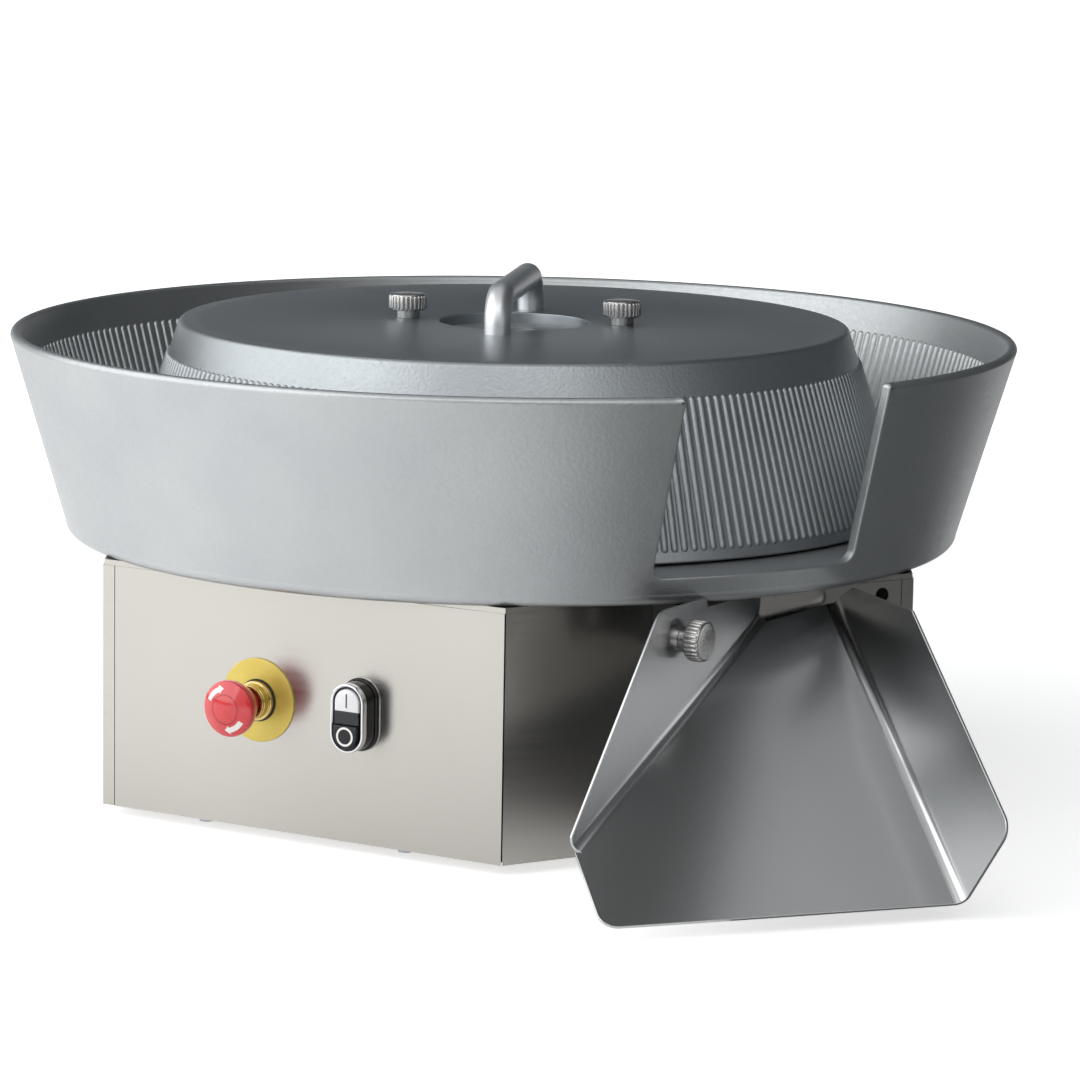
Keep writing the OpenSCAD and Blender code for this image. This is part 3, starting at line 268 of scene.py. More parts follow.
# Moulded line on the red cap: the same plastic coloured darker, as the line's painted shadow.
CAP_LINE_PAINTED_SHADOW = Finish("red_plastic_line_painted_shadow", "#8e141a", "#841218", 0.4, metallic=0.0, grain_mm=2,
                  bump_mm=0.002, patch_mm=10)
# Gilt plating of the switch sleeve: a warm mirror.
GILT = Finish("gilt_plate", "#c6b37c", "#baa66e", 0.16, grain_mm=2.0, bump_mm=0.001, spread=0.02)
# Chrome trim: nearly a mirror.
CHROME = Finish("chrome_plate", "#d5d6d8", "#cccdd0", 0.09, grain_mm=2.0, bump_mm=0.001,
                spread=0.02)
# White button: slightly creamy gloss plastic.
WHITE_ABS = Finish("polished_white_abs", "#e9e8ea", "#e2e1e3", 0.22, metallic=0.0, grain_mm=2,
                   bump_mm=0.003, spread=0.03, patch_mm=20, coat=0.3)
# Smoked lamp window: dark glass-like acrylic.
SMOKED_LENS = Finish("smoked_acrylic", "#14181a", "#1b2022", 0.07, metallic=0.0, grain_mm=3,
                     bump_mm=0.001, spread=0.02, patch_mm=12, specular=0.4)
# White pad-printed ink of the switch signs.
SIGN_INK = Finish("white_print_ink", "#eceae6", "#e4e2de", 0.45, metallic=0.0, grain_mm=0.6,
                  bump_mm=0.002, patch_mm=6)
# Dark pad-printed ink of the start sign.
DARK_INK = Finish("dark_print_ink", "#3a3b3d", "#333436", 0.45, metallic=0.0, grain_mm=0.6,
                  bump_mm=0.002, patch_mm=6)


def rounded(corners: Sequence[Spot], closed: bool = False, steps: int = 6) -> list[Flat]:
    """Rounds the corners of a flat path.

    Args:
        corners: x, y and radius of each corner.
        closed: whether the last corner joins the first.
        steps: pieces that a round corner is cut into.

    Returns:
        The points of the rounded path.
    """
    path: list[Flat] = []
    last = len(corners) - 1
    for i, (x, y, radius) in enumerate(corners):
        if radius <= 0 or (not closed and i in (0, last)):
            path.append((x, y))
            continue
        corner = Vector((x, y))
        back = (Vector(corners[i - 1][:2]) - corner).normalized()
        on = (Vector(corners[(i + 1) % len(corners)][:2]) - corner).normalized()
        half = back.angle(on) / 2
        centre = corner + (back + on).normalized() * (radius / math.sin(half))
        first = corner + back * (radius / math.tan(half)) - centre
        end = corner + on * (radius / math.tan(half)) - centre
        turn = math.atan2(first.cross(end), first.dot(end))
        for k in range(steps + 1):
            c, s = math.cos(turn * k / steps), math.sin(turn * k / steps)
            path.append((centre.x + c * first.x - s * first.y,
                         centre.y + s * first.x + c * first.y))
    return path


@dataclass
class Form:
    """Points and faces of one piece, gathered in millimetres."""

    points: list[Vector] = field(default_factory=list)
    faces: list[tuple[int, ...]] = field(default_factory=list)

    def polygon(self, ring: Iterable[Sequence[float]]) -> "Form":
        """Adds one flat face.

        Args:
            ring: its corners, in order.

        Returns:
            The form.
        """
        start = len(self.points)
        self.points.extend(Vector(p) for p in ring)
        self.faces.append(tuple(range(start, len(self.points))))
        return self

    def grid(self, rows: Sequence[Sequence[Sequence[float]]], loop: bool = False) -> "Form":
        """Skins rows of equal length with four-sided faces.

        Args:
            rows: the rows of points, in order.
            loop: whether each row closes on itself.

        Returns:
            The form.
        """
        start, width = len(self.points), len(rows[0])
        for row in rows:
            self.points.extend(Vector(p) for p in row)
        for i in range(len(rows) - 1):
            for j in range(width if loop else width - 1):
                a, b = start + i * width + j, start + i * width + (j + 1) % width
                self.faces.append((a, b, b + width, a + width))
        return self

    def turned(self, profile: Sequence[Flat], segments: int = 96) -> "Form":
        """Turns a profile of radius and height about Z."""
        turns = [math.tau * j / segments for j in range(segments)]
        return self.grid([[(r * math.cos(a), r * math.sin(a), z) for a in turns]
                          for r, z in profile], loop=True)

    def stacked(self, outlines: Sequence[tuple[Sequence[Flat], float]],
                capped: bool = True) -> "Form":
        """Skins flat outlines of equal length that lie at given heights.

        Args:
            outlines: each outline with its height.
            capped: whether the first and last outline are filled.

        Returns:
            The form.
        """
        rows = [[(x, y, z) for x, y in outline] for outline, z in outlines]
        self.grid(rows, loop=True)
        if capped:
            self.polygon(reversed(rows[0]))
            self.polygon(rows[-1])
        return self

    def swept(self, path: Sequence[Vector], radius: float, segments: int = 40) -> "Form":
        """Draws a round bar along a path that lies in one upright plane.

        Args:
            path: the bar's middle line.
            radius: half the bar's thickness.
            segments: sides of the bar.

        Returns:
            The form.
        """
        side = (path[-1] - path[0]).cross(Vector((0, 0, 1))).normalized()
        rows = []
        for i, point in enumerate(path):
            ahead = (path[min(i + 1, len(path) - 1)] - path[max(i - 1, 0)]).normalized()
            up = side.cross(ahead)
            rows.append([point + radius * (math.cos(a) * side + math.sin(a) * up)
                         for a in (math.tau * j / segments for j in range(segments))])
        self.grid(rows, loop=True)
        self.polygon(rows[0])
        return self.polygon(rows[-1])

    def joined(self, *others: "Form") -> "Form":
        """Adds other forms to this one.

        Args:
            *others: the forms to add.

        Returns:
            The form.
        """
        for other in others:
            start = len(self.points)
            self.points += other.points
            self.faces += [tuple(i + start for i in face) for face in other.faces]
        return self

    def moved(self, matrix: Matrix) -> "Form":
        """Places the form."""
        self.points = [matrix @ p for p in self.points]
        return self

    def build(self, name: str, finish: Finish, sharp: float = 35.0, shell: bool = False
              ) -> bpy.types.Object:
        """Makes the object: merged, outward and smooth up to an edge angle.

        Args:
            name: the piece's name.
            finish: the surface it gets.
            sharp: angle in degrees past which an edge stays crisp.
            shell: whether it is an open sheet that keeps its own facing.

        Returns:
            The object, at the origin.
        """
        mesh = bpy.data.meshes.new(name)
        mesh.from_pydata([tuple(p * MM) for p in self.points], [], self.faces)
        work = bmesh.new()
        work.from_mesh(mesh)
        bmesh.ops.remove_doubles(work, verts=work.verts, dist=2e-6)
        bmesh.ops.dissolve_degenerate(work, dist=1e-7, edges=work.edges)
        if not shell:
            bmesh.ops.recalc_face_normals(work, faces=work.faces)
        work.to_mesh(mesh)
        work.free()
        mesh.shade_smooth()
        mesh.set_sharp_from_angle(angle=math.radians(sharp))
        mesh.materials.append(finish.material())
        return placed(name, mesh)


def settle(piece: bpy.types.Object) -> bpy.types.Object:
    """Turns a piece's modifiers into a plain mesh.

    Args:
        piece: the object with its modifiers.

    Returns:
        The same object without them.
    """
    graph = bpy.context.evaluated_depsgraph_get()
    mesh = bpy.data.meshes.new_from_object(piece.evaluated_get(graph), depsgraph=graph)
    piece.modifiers.clear()
    piece.data = mesh
    return piece


def fit(piece: bpy.types.Object, body: str, slot: str, *nodes: str) -> None:
    """Ties a finished piece to its body and hides the CAD nodes it stands for.

    Args:
        piece: the finished object.
        body: the CAD body that carries it.
        slot: name of the piece's material slot; not used.
        *nodes: CAD nodes that it replaces.
    """
    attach(piece, body)
    if nodes:
        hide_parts(*nodes)
    LOG.info("%s on %s, %d faces", piece.name, body, len(piece.data.polygons))


# Sums that bend a flat strip into a rib and set the ribs in a ring: result, operation, operands.
RIB_SUMS: tuple[tuple[Any, ...], ...] = (
    ("bent", "MULTIPLY", "y", math.pi / 2),
    ("across", "SINE", "bent"),
    ("half", "MULTIPLY", "Width", 0.5),
    ("size", "ABSOLUTE", "x"),
    ("far", "MULTIPLY", "size", NOSE_STEPS + 1.0),
    ("past", "SUBTRACT", "far", 1.0),
    ("in_nose", "MAXIMUM", 0.0, "past"),
    ("turn", "MULTIPLY", "in_nose", math.pi / 2 / NOSE_STEPS),
    ("nose", "COSINE", "turn"),
    ("tip", "SINE", "turn"),
    ("middle", "MULTIPLY", "Length", 0.5),
    ("shaft", "SUBTRACT", "middle", "half"),
    ("run", "MINIMUM", "far", 1.0),
    ("straight", "MULTIPLY", "run", "shaft"),
    ("beyond", "MULTIPLY", "tip", "half"),
    ("reach", "ADD", "straight", "beyond"),
    ("side", "SIGN", "x"),
    ("rib_x", "MULTIPLY", "side", "reach"),
    ("flank", "MULTIPLY", "across", "half"),
    ("rib_y", "MULTIPLY", "flank", "nose"),
    ("square", "MULTIPLY", "across", "across"),
    ("rest", "SUBTRACT", 1.0, "square"),
    ("positive", "MAXIMUM", 0.0, "rest"),
    ("crown", "SQRT", "positive"),
    ("thinned", "MULTIPLY", "crown", "nose"),
    ("rib_z", "MULTIPLY", "thinned", "Rise"),
    ("swing", "MULTIPLY", "index", "Step"),
    ("angle", "ADD", "Start", "swing"),
    ("cosine", "COSINE", "angle"),
    ("sine", "SINE", "angle"),
    ("ring_x", "MULTIPLY", "cosine", "Radius"),
    ("ring_y", "MULTIPLY", "sine", "Radius"))


@dataclass(frozen=True)
class RibRing:
    """A ring of half-round ribs with rounded ends, made with Geometry Nodes."""

    count: int
    start: float
    step: float
    radius: float
    height: float
    tilt: float
    length: float
    width: float
    rise: float

    def tree(self) -> bpy.types.NodeTree:
        """Gives the node tree that all rings share, made once.

        Returns:
            The tree, whose inputs are the sizes of one ring.
        """
        found = bpy.data.node_groups.get("rib_ring")
        if found:
            return found
        tree = bpy.data.node_groups.new("rib_ring", "GeometryNodeTree")
        tree.interface.new_socket("Geometry", in_out="OUTPUT", socket_type="NodeSocketGeometry")
        tree.interface.new_socket("Count", in_out="INPUT", socket_type="NodeSocketInt")
        for name in ("Start", "Step", "Radius", "Height", "Tilt", "Length", "Width", "Rise"):
            tree.interface.new_socket(name, in_out="INPUT", socket_type="NodeSocketFloat")
        tree.interface.new_socket("Material", in_out="INPUT", socket_type="NodeSocketMaterial")
        given = add(tree, "NodeGroupInput").outputs
        strip = add(tree, "GeometryNodeMeshGrid", {
            "Size X": 2.0, "Size Y": 2.0,
            "Vertices X": 2 * NOSE_STEPS + 3, "Vertices Y": BACK_STEPS + 1})
        flat = add(tree, "ShaderNodeSeparateXYZ", {
            0: add(tree, "GeometryNodeInputPosition").outputs[0]}).outputs
        known = {socket.name: socket for socket in given}
        known.update(x=flat["X"], y=flat["Y"],
                     index=add(tree, "GeometryNodeInputIndex").outputs[0])
        for name, operation, *values in RIB_SUMS:
            known[name] = add(tree, "ShaderNodeMath", {
                i: known.get(value, value) for i, value in enumerate(values)},
                operation=operation).outputs[0]
        rib = add(tree, "GeometryNodeSetPosition", {
            "Geometry": strip.outputs["Mesh"],
            "Position": add(tree, "ShaderNodeCombineXYZ", {
                "X": known["rib_x"], "Y": known["rib_y"], "Z": known["rib_z"]}).outputs[0]})
        places = add(tree, "GeometryNodePoints", {
            "Count": given["Count"],
            "Position": add(tree, "ShaderNodeCombineXYZ", {
                "X": known["ring_x"], "Y": known["ring_y"], "Z": given["Height"]}).outputs[0]})
        ring = add(tree, "GeometryNodeInstanceOnPoints", {
            "Points": places.outputs[0], "Instance": rib.outputs[0],
            "Rotation": add(tree, "ShaderNodeCombineXYZ", {
                "Y": given["Tilt"], "Z": known["angle"]}).outputs[0]})
        smooth = add(tree, "GeometryNodeSetShadeSmooth", {
            "Geometry": add(tree, "GeometryNodeRealizeInstances", {
                "Geometry": ring.outputs[0]}).outputs[0]})
        dressed = add(tree, "GeometryNodeSetMaterial", {
            "Geometry": smooth.outputs[0], "Material": given["Material"]})
        add(tree, "NodeGroupOutput", {0: dressed.outputs[0]})
        return tree

    def build(self, name: str, finish: Finish) -> bpy.types.Object:
        """Makes the ring as a plain mesh about Z.

        Args:
            name: the piece's name.
            finish: the surface it gets.

        Returns:
            The object, at the origin.
        """
        piece = placed(name, bpy.data.meshes.new(name))
        tree = self.tree()
        sizes = {
            "Count": self.count, "Material": finish.material(), "Start": math.radians(self.start),
            "Step": math.radians(self.step), "Tilt": math.radians(self.tilt),
            "Radius": self.radius * MM, "Height": self.height * MM, "Length": self.length * MM,
            "Width": self.width * MM, "Rise": self.rise * MM}
        modifier = piece.modifiers.new("ribs", "NODES")
        modifier.node_group = tree
        for socket in tree.interface.items_tree:
            if socket.in_out == "INPUT":
                modifier[socket.identifier] = sizes[socket.name]
        return settle(piece)


@dataclass(frozen=True)
class EdgePoint:
    """A point of the bowl wall's free edge, laid out flat, with the way into the wall."""

    along: float
    up: float
    way: Flat
    soft_in: float
    soft_out: float


@dataclass
class Bowl:
    """Cast bowl: flared wall with a rounded lip, an exit with soft edges and a ribbed lining."""

    foot_radius: float = 332.0
    height: float = 150.0
    flare: float = 42.95
    wall: float = 8.0
    floor: float = 20.0
    band: float = 24.0
    exit_heading: float = -28.5
    exit_width: float = 167.0
    exit_corner: float = 9.0
    exit_top_round: float = 3.5
    exit_soft: float = 1.6
    exit_ease: float = 250.0
    foot_round: float = 8.0
    spread: float = 350.0
    ledge: float = 6.0
    hollow: float = 10.0
    dam: float = 60.0
    dam_height: float = 50.0
    dam_wall: float = 6.0
    columns: int = 330
    foot_rows: tuple[float, ...] = (8.0, 16.0, 24.0)
    rows: tuple[float, ...] = (32.0, 60.0, 90.0, 120.0, 145.0)
    rib_bury: float = 3.0
    ribs: int = 247
    rib_pitch: float = 360.0 / 270
    rib_width: float = 6.0
    rib_rise: float = 1.7

    def outside(self, up: float) -> float:
        """Gives the outer radius at a height above the deck."""
        return self.foot_radius + up * self.flare / (self.height - self.wall / 2)

    def spot(self, along: float, up: float, depth: float) -> Spot:
        """Gives a point of the wall.

        Args:
            along: distance round the wall from the middle of the exit, whose sides run parallel.
            up: height above the deck.
            depth: distance out from the inner face.

        Returns:
            The point in the part's frame.
        """
        turn = math.tau * self.spread
        along = (along + turn / 2) % turn - turn / 2
        outer = self.outside(min(up, self.height - self.wall / 2))
        half = self.exit_width / 2
        far = min(1.0, max(0.0, abs(along) - half) / self.exit_ease)
        straight = math.asin(half / outer) * self.spread / half
        a = along / self.spread * (1 + (straight - 1) * (1 - far * far * (3 - 2 * far)))
        a += math.radians(self.exit_heading)
        r = outer - self.wall + depth
        return r * math.cos(a), r * math.sin(a), DECK + up

    def exit_edge(self) -> list[EdgePoint]:
        """Follows the wall's edge down one side of the exit, along its sill and up the other.

        Returns:
            The points from lip to lip.
        """
        half = self.exit_width / 2
        top, corner, lip = self.exit_top_round, self.exit_corner, self.wall / 2
        side: list[EdgePoint] = []
        for k in range(7):
            a = math.pi / 2 * (1 - k / 6)
            soft = lip + (self.exit_soft - lip) * k / 6
            side.append(EdgePoint(-half - top + top * math.cos(a),
                                  self.height - top + top * math.sin(a),
                                  (-math.cos(a), -math.sin(a)), soft, soft))
        for up in self.rows[3:0:-1]:
            side.append(EdgePoint(-half, up, (-1.0, 0.0), self.exit_soft, self.exit_soft))
        for k in range(9):
            a = math.pi * (1 + k / 16)
            side.append(EdgePoint(-half + corner + corner * math.cos(a),
                                  self.floor + corner + corner * math.sin(a),
                                  (math.cos(a), math.sin(a)), self.exit_soft * (1 - k / 8) + 0.01,
                                  self.exit_soft))
        sill = [EdgePoint((half - corner) * (k / 10 - 1), self.floor, (0.0, -1.0), 0.01,
                          self.exit_soft) for k in range(1, 20)]
        other = [EdgePoint(-p.along, p.up, (-p.way[0], p.way[1]), p.soft_in, p.soft_out)
                 for p in reversed(side)]
        return side + sill + other

    def across(self, edge: EdgePoint, steps: int = 5) -> list[Spot]:
        """Gives the wall's section at its free edge, from the inner face over to the outer one.

        Args:
            edge: the place on the edge.
            steps: pieces that each softened corner is cut into.

        Returns:
            The section's points.
        """
        section = [(edge.soft_in * (1 - math.sin(a)), edge.soft_in * (1 - math.cos(a)))
                   for a in quarter(steps)]
        section += [(edge.soft_out * (1 - math.cos(a)),
                     self.wall - edge.soft_out * (1 - math.sin(a))) for a in quarter(steps)]
        return [self.spot(edge.along + inset * edge.way[0], edge.up + inset * edge.way[1], depth)
                for inset, depth in section]

    def shell(self) -> Form:
        """Builds the wall with its lip, exit, foot and floor.

        Returns:
            The form.
        """
        form = Form()
        edge = self.exit_edge()
        half, lip = self.exit_width / 2, self.wall / 2
        start = half + self.exit_top_round
        stop = math.tau * self.spread - half - self.exit_top_round
        columns = [start + (stop - start) * j / self.columns for j in range(self.columns + 1)]
        lip_edge = [EdgePoint(along, self.height, (0.0, -1.0), lip, lip) for along in columns]
        form.grid([self.across(p) for p in edge + lip_edge])
        form.grid([self.across(p) for p in (lip_edge[-1], edge[0])])
        low = self.foot_rows[0]
        for depth, rows in ((self.wall, self.foot_rows + self.rows),
                            (0.0, (self.floor, *self.rows))):
            form.grid([[self.spot(a, up, depth) for a in columns]
                       for up in (*rows, self.height - lip)])
            for side in (-1, 1):
                strip = (side * (half + self.exit_soft), side * start)
                form.grid([[self.spot(a, up, depth) for a in strip] for up in rows])
                bend = [self.across(p)[-1 if depth else 0]
                        for p in (edge if side < 0 else edge[::-1])[:7]]
                end = self.spot(side * start, self.height - self.exit_top_round, depth)
                form.polygon([*bend, end])
        sill = [p for p in edge if p.up <= self.floor + self.exit_corner + 0.01]
        form.grid([[self.spot(p.along + p.soft_out * p.way[0],
                              low + (p.up + p.soft_out * p.way[1] - low) * k / 3, self.wall)
                    for p in sill] for k in range(4)])
        for run in (sill[:9], sill[-9:]):
            form.grid([[self.spot(p.along + p.soft_in * p.way[0], up, 0.0)
                        if up == self.floor else self.across(p)[0] for p in run]
                       for up in (self.floor, self.height)])
        foot = self.outside(self.foot_round) - self.foot_round
        profile = [(foot + self.foot_round * math.cos(a),
                    DECK + self.foot_round * (1 - math.sin(a))) for a in quarter(6)]
        under, crest, floor = (DECK + up for up in (self.hollow, self.dam_height, self.floor))
        recess, back = foot - self.ledge, self.dam + self.dam_wall
        profile += [(recess, DECK), (recess, under), (self.dam, under), (self.dam, crest),
                    (back, crest), (back, floor), (self.outside(self.floor) - self.wall, floor)]
        return form.turned(profile, 360)

    def build(self) -> None:
        """Makes the bowl and the ribs of its lining."""
        fit(self.shell().build("bowl_wall", CAST_BOWL, sharp=40), "base", "bowl_cast", "bowl")
        rise = self.flare / (self.height - self.wall / 2)
        low, high = self.floor - self.rib_bury, self.height - self.band
        middle = (low + high) / 2
        span = (self.ribs - 1) * self.rib_pitch
        ring = RibRing(self.ribs, self.exit_heading + 180.0 - span / 2, self.rib_pitch,
                       self.outside(middle) - self.wall, DECK + middle,
                       math.degrees(math.atan(rise)) - 90.0, (high - low) * math.hypot(1, rise),
                       self.rib_width, self.rib_rise)
        fit(ring.build("bowl_ribs", CAST_BOWL), "base", "bowl_cast")


@dataclass
class Cone:
    """Ribbed cone that rolls the dough, with a plain band and a round opening in its flat top."""

    base_z: float = 212.0
    top_z: float = 345.0
    base_radius: float = 293.9
    slope: float = 18.3
    wall: float = 7.0
    top: float = 10.0
    edge: float = 4.5
    foot_edge: float = 1.5
    hole_edge: float = 1.2
    rim_flat: float = 13.5
    skirt: float = 2.5
    hole: float = 56.5
    foot_band: float = 5.0
    head_band: float = 24.0
    ribs: int = 240
    rib_width: float = 5.7
    rib_rise: float = 1.8
    phase: float = 22.0
    knob_radius: float = 81.0

    def outside(self, z: float) -> float:
        """Gives the outer radius at a height."""
        return self.base_radius - (z - self.base_z) * math.tan(math.radians(self.slope))

    def build(self) -> None:
        """Makes the cone's shell, its top face and its ribs."""
        top_corner = self.outside(self.top_z)
        foot = self.base_z - self.skirt
        side = rounded([
            (self.outside(foot) - self.wall, foot, 0.0), (self.outside(foot), foot, self.foot_edge),
            (top_corner, self.top_z, self.edge),
            (top_corner - self.rim_flat, self.top_z, 0.0)], steps=8)
        ceiling = self.top_z - self.top
        hollow = [(self.hole, ceiling), (self.outside(ceiling) - self.wall, ceiling),
                  (self.outside(foot) - self.wall, foot)]
        # The cone's shell and ribs are coloured darker than the bowl, a painted shade.
        shell = Form().turned(side, 360).turned(hollow, 360)
        fit(shell.build("cone_shell", CAST_CONE_PAINTED_SHADE, sharp=30), "cone", "cone_cast", "cone")
        face = rounded([(side[-1][0], self.top_z, 0.0), (self.hole, self.top_z, self.hole_edge),
                        (self.hole, ceiling, 0.0)], steps=5)
        # The top face is coloured darker and bluer than the bowl, a painted shade.
        top = Form().turned(face, 360)
        fit(top.build("cone_top_face", BLASTED_TOP_PAINTED_SHADE, sharp=30), "cone", "cone_cast")
        low, high = self.base_z + self.foot_band, self.top_z - self.head_band
        middle = (low + high) / 2
        ring = RibRing(self.ribs, self.phase, 360.0 / self.ribs, self.outside(middle), middle,
                       90.0 - self.slope, (high - low) / math.cos(math.radians(self.slope)),
                       self.rib_width, self.rib_rise)
        fit(ring.build("cone_ribs", CAST_CONE_PAINTED_SHADE), "cone", "cone_cast")


@dataclass
class LiftHandle:
    """Bent bar handle across the opening in the cone top."""

    place: Matrix
    span: float = 165.0
    rise: float = 37.0
    bar: float = 20.0
    bend: float = 20.0

    def build(self) -> None:
        """Makes the bar."""
        half, axis = self.span / 2, self.rise - self.bar / 2
        line = rounded([(-half, 0.0, 0.0), (-half, axis, self.bend), (half, axis, self.bend),
                        (half, 0.0, 0.0)], steps=14)
        path = [Vector((0.0, y, z)) for y, z in line]
        bar = Form().swept(path, self.bar / 2).moved(self.place)
        fit(bar.build("lifting_handle", HANDLE_BAR, sharp=50), "cone", "handle_bar", "cone_handle")


@dataclass
class ThumbScrew:
    """Knurled thumb screw: head with a ring of ridges, neck and stud."""

    name: str
    node: str
    place: Matrix
    stud: float
    diameter: float = 29.0
    head: float = 12.0
    neck_diameter: float = 18.0
    neck: float = 6.0
    stud_diameter: float = 8.0
    ridges: int = 26
    ridge: float = 1.1
    ridge_fill: float = 0.86
    ridge_sink: float = 0.1
    ridge_margin: float = 1.6

    def build(self) -> None:
        """Makes the turned screw and the ring of ridges round its head."""
        core = self.diameter / 2 - self.ridge
        top = self.neck + self.head
        profile = rounded([
            (0.0, -self.stud, 0.0), (self.stud_diameter / 2, -self.stud, 0.8),
            (self.stud_diameter / 2, 0.0, 0.0), (self.neck_diameter / 2, 0.0, 0.4),
            (self.neck_diameter / 2, self.neck, 0.6), (core, self.neck, 1.0),
            (core, top, 1.4), (0.0, top, 0.0)], steps=4)
        turned = Form().turned(profile, 104).moved(self.place)
        screw = turned.build(self.name, TURNED_STEEL, sharp=40)
        width = math.tau * core / self.ridges * self.ridge_fill
        ring = RibRing(self.ridges, 0.0, 360.0 / self.ridges, core - self.ridge_sink,
                       self.neck + self.head / 2, 90.0, self.head - self.ridge_margin, width,
                       self.ridge)
        knurl = ring.build(self.name + "_knurl", TURNED_STEEL)
        flat = self.place.copy()
        flat.translation = flat.translation * MM
        knurl.data.transform(flat)
        fit(screw, self.node, "knob_steel", self.node)
        fit(knurl, self.node, "knob_steel")


def on_panel(x: float, z: float = 101.0, apothem: float = 290.98) -> Matrix:
    """Gives a place on the control panel, local Y up and local Z out of it."""
    return Matrix(((1, 0, 0, x), (0, 0, -1, -apothem), (0, 1, 0, z), (0, 0, 0, 1)))


@dataclass
class EmergencyStop:
    """Red twist-release stop on its collar and bare yellow disc."""

    x: float = -33.0
    plate: float = 60.0
    plate_thickness: float = 1.5
    collar: float = 25.0
    collar_height: float = 14.0
    base: float = 28.4
    base_height: float = 6.0
    bore: float = 21.2
    gasket: float = 30.4
    neck: float = 19.8
    neck_back: float = 14.3
    flare: float = 13.0
    head_back: float = 19.5
    head_front: float = 44.0
    head: float = 40.0
    rim: float = 10.0
    dome: float = 42.0
    line: float = 10.4
    arrow_rows: tuple[float, ...] = (12.9, 14.1, 15.3, 16.5)
    arrow_barb: float = 3.2
    arrow_sweep: float = 62.0
    arrow_middles: Flat = (128.0, -62.0)
    arrow_proud: float = 0.06
    line_proud: float = 0.04
    shank: float = 22.0
    shank_length: float = 14.0
    stem_bore: float = 12.4
    stem_socket: float = 12.2
    bore_floor: float = 8.5
    groove: float = 2.6

    def front(self, radius: float) -> float:
        """Gives how far the domed front stands out at a radius."""
        return self.head_front - radius * radius / (2 * self.dome)

    def arrow(self, middle: float) -> Form:
        """Draws one curved arrow on the domed front.

        Args:
            middle: angle of its middle, in degrees.

        Returns:
            The form, just proud of the cap.
        """
        form = Form()

        def spot(radius: float, degrees: float) -> Spot:
            """Gives a point on the front."""
            a = math.radians(degrees)
            return radius * math.cos(a), radius * math.sin(a), self.front(radius) + self.arrow_proud

        sweep, centre = self.arrow_sweep, (self.arrow_rows[0] + self.arrow_rows[-1]) / 2
        start, neck, tip = middle + sweep / 2, middle - sweep / 4, middle - sweep / 2
        angles = [start + (neck - start) * k / 10 for k in range(11)]
        form.grid([[spot(r, a) for a in angles] for r in self.arrow_rows])
        return form.grid([[spot(centre + self.arrow_barb * (1 - k / 6) * side,
                                neck + (tip - neck) * k / 6)
                           for side in (-1.0, -0.5, 0.0, 0.5, 1.0)] for k in range(7)])

    def build(self) -> None:
        """Makes plate, collar, gasket, head and its twist arrows."""
        place = on_panel(self.x)
        disc = rounded([(self.collar / 2 - 1, 0.0, 0.0), (self.plate / 2, 0.0, 0.2),
                        (self.plate / 2, self.plate_thickness, 0.5),
                        (self.collar / 2 - 1, self.plate_thickness, 0.0)], steps=4)
        fit(Form().turned(disc, 96).moved(place).build("estop_disc", YELLOW_PLATE), "base",
            "estop_yellow", "estop_plate")
        base, sleeve, bore, shank, stem = (
            d / 2 for d in (self.base, self.collar, self.bore, self.shank, self.stem_bore))
        top, waist, rear = self.collar_height, self.collar_height - self.groove, -self.shank_length
        tube = rounded([(shank + 0.3, 1.2, 0.0), (base, 1.2, 0.0), (base, self.base_height, 0.9),
                        (sleeve, self.base_height, 0.5), (sleeve, waist - 0.4, 0.3),
                        (sleeve - 0.5, waist, 0.2), (sleeve, waist + 0.4, 0.2), (sleeve, top, 0.6),
                        (bore, top, 0.3), (bore, self.bore_floor, 0.0),
                        (stem, self.bore_floor, 0.0)], steps=4)
        back = rounded([(stem, rear, 0.0), (shank, rear, 0.5), (shank, 1.4, 0.0)])
        ring = Form().turned(tube, 72).turned(back, 48).moved(place)
        fit(ring.build("estop_sleeve", GILT), "base", "estop_gilt", "estop_collar")
        edge = self.gasket / 2
        seal = rounded([(base - 0.4, 1.4, 0.0), (edge, 1.4, 0.2), (edge, 2.8, 0.6),
                        (base - 0.4, 2.8, 0.0)], steps=4)
        fit(Form().turned(seal, 72).moved(place).build("estop_gasket", RUBBER), "base", "rubber")
        half, neck = self.head / 2, self.neck / 2
        face = [(r, self.front(r)) for r in (half - 2.2, 15.0, 11.0, 7.0, 3.0, 0.0)]
        body = rounded([(self.stem_socket / 2, self.neck_back, 0.0), (neck, self.neck_back, 0.4),
                        (neck, self.head_back, 1.0), (self.flare, self.head_back + 0.6, 0.8),
                        (half, self.head_front - self.rim, 6.0), (half, self.front(half), 1.6),
                        face[0] + (0.0,)], steps=6)
        head = Form().turned(body + face[1:], 96).moved(place)
        fit(head.build("estop_cap", RED_CAP, sharp=50), "estop_head", "estop_red", "estop_head")
        # A thin ring just proud of the cap, coloured darker red as the moulded line's painted
        # shadow.
        band = [(r, self.front(r) + self.line_proud)
                for r in (self.line - 0.25, self.line, self.line + 0.25)]
        ring = Form().turned(band, 72).moved(place)
        fit(ring.build("estop_line_painted_shadow", CAP_LINE_PAINTED_SHADOW), "estop_head", "estop_red")
        for name, middle in zip(("estop_arrow_a", "estop_arrow_b"), self.arrow_middles):
            sign = self.arrow(middle).moved(place)
            fit(sign.build(name, SIGN_INK), "estop_head", "white_plastic")


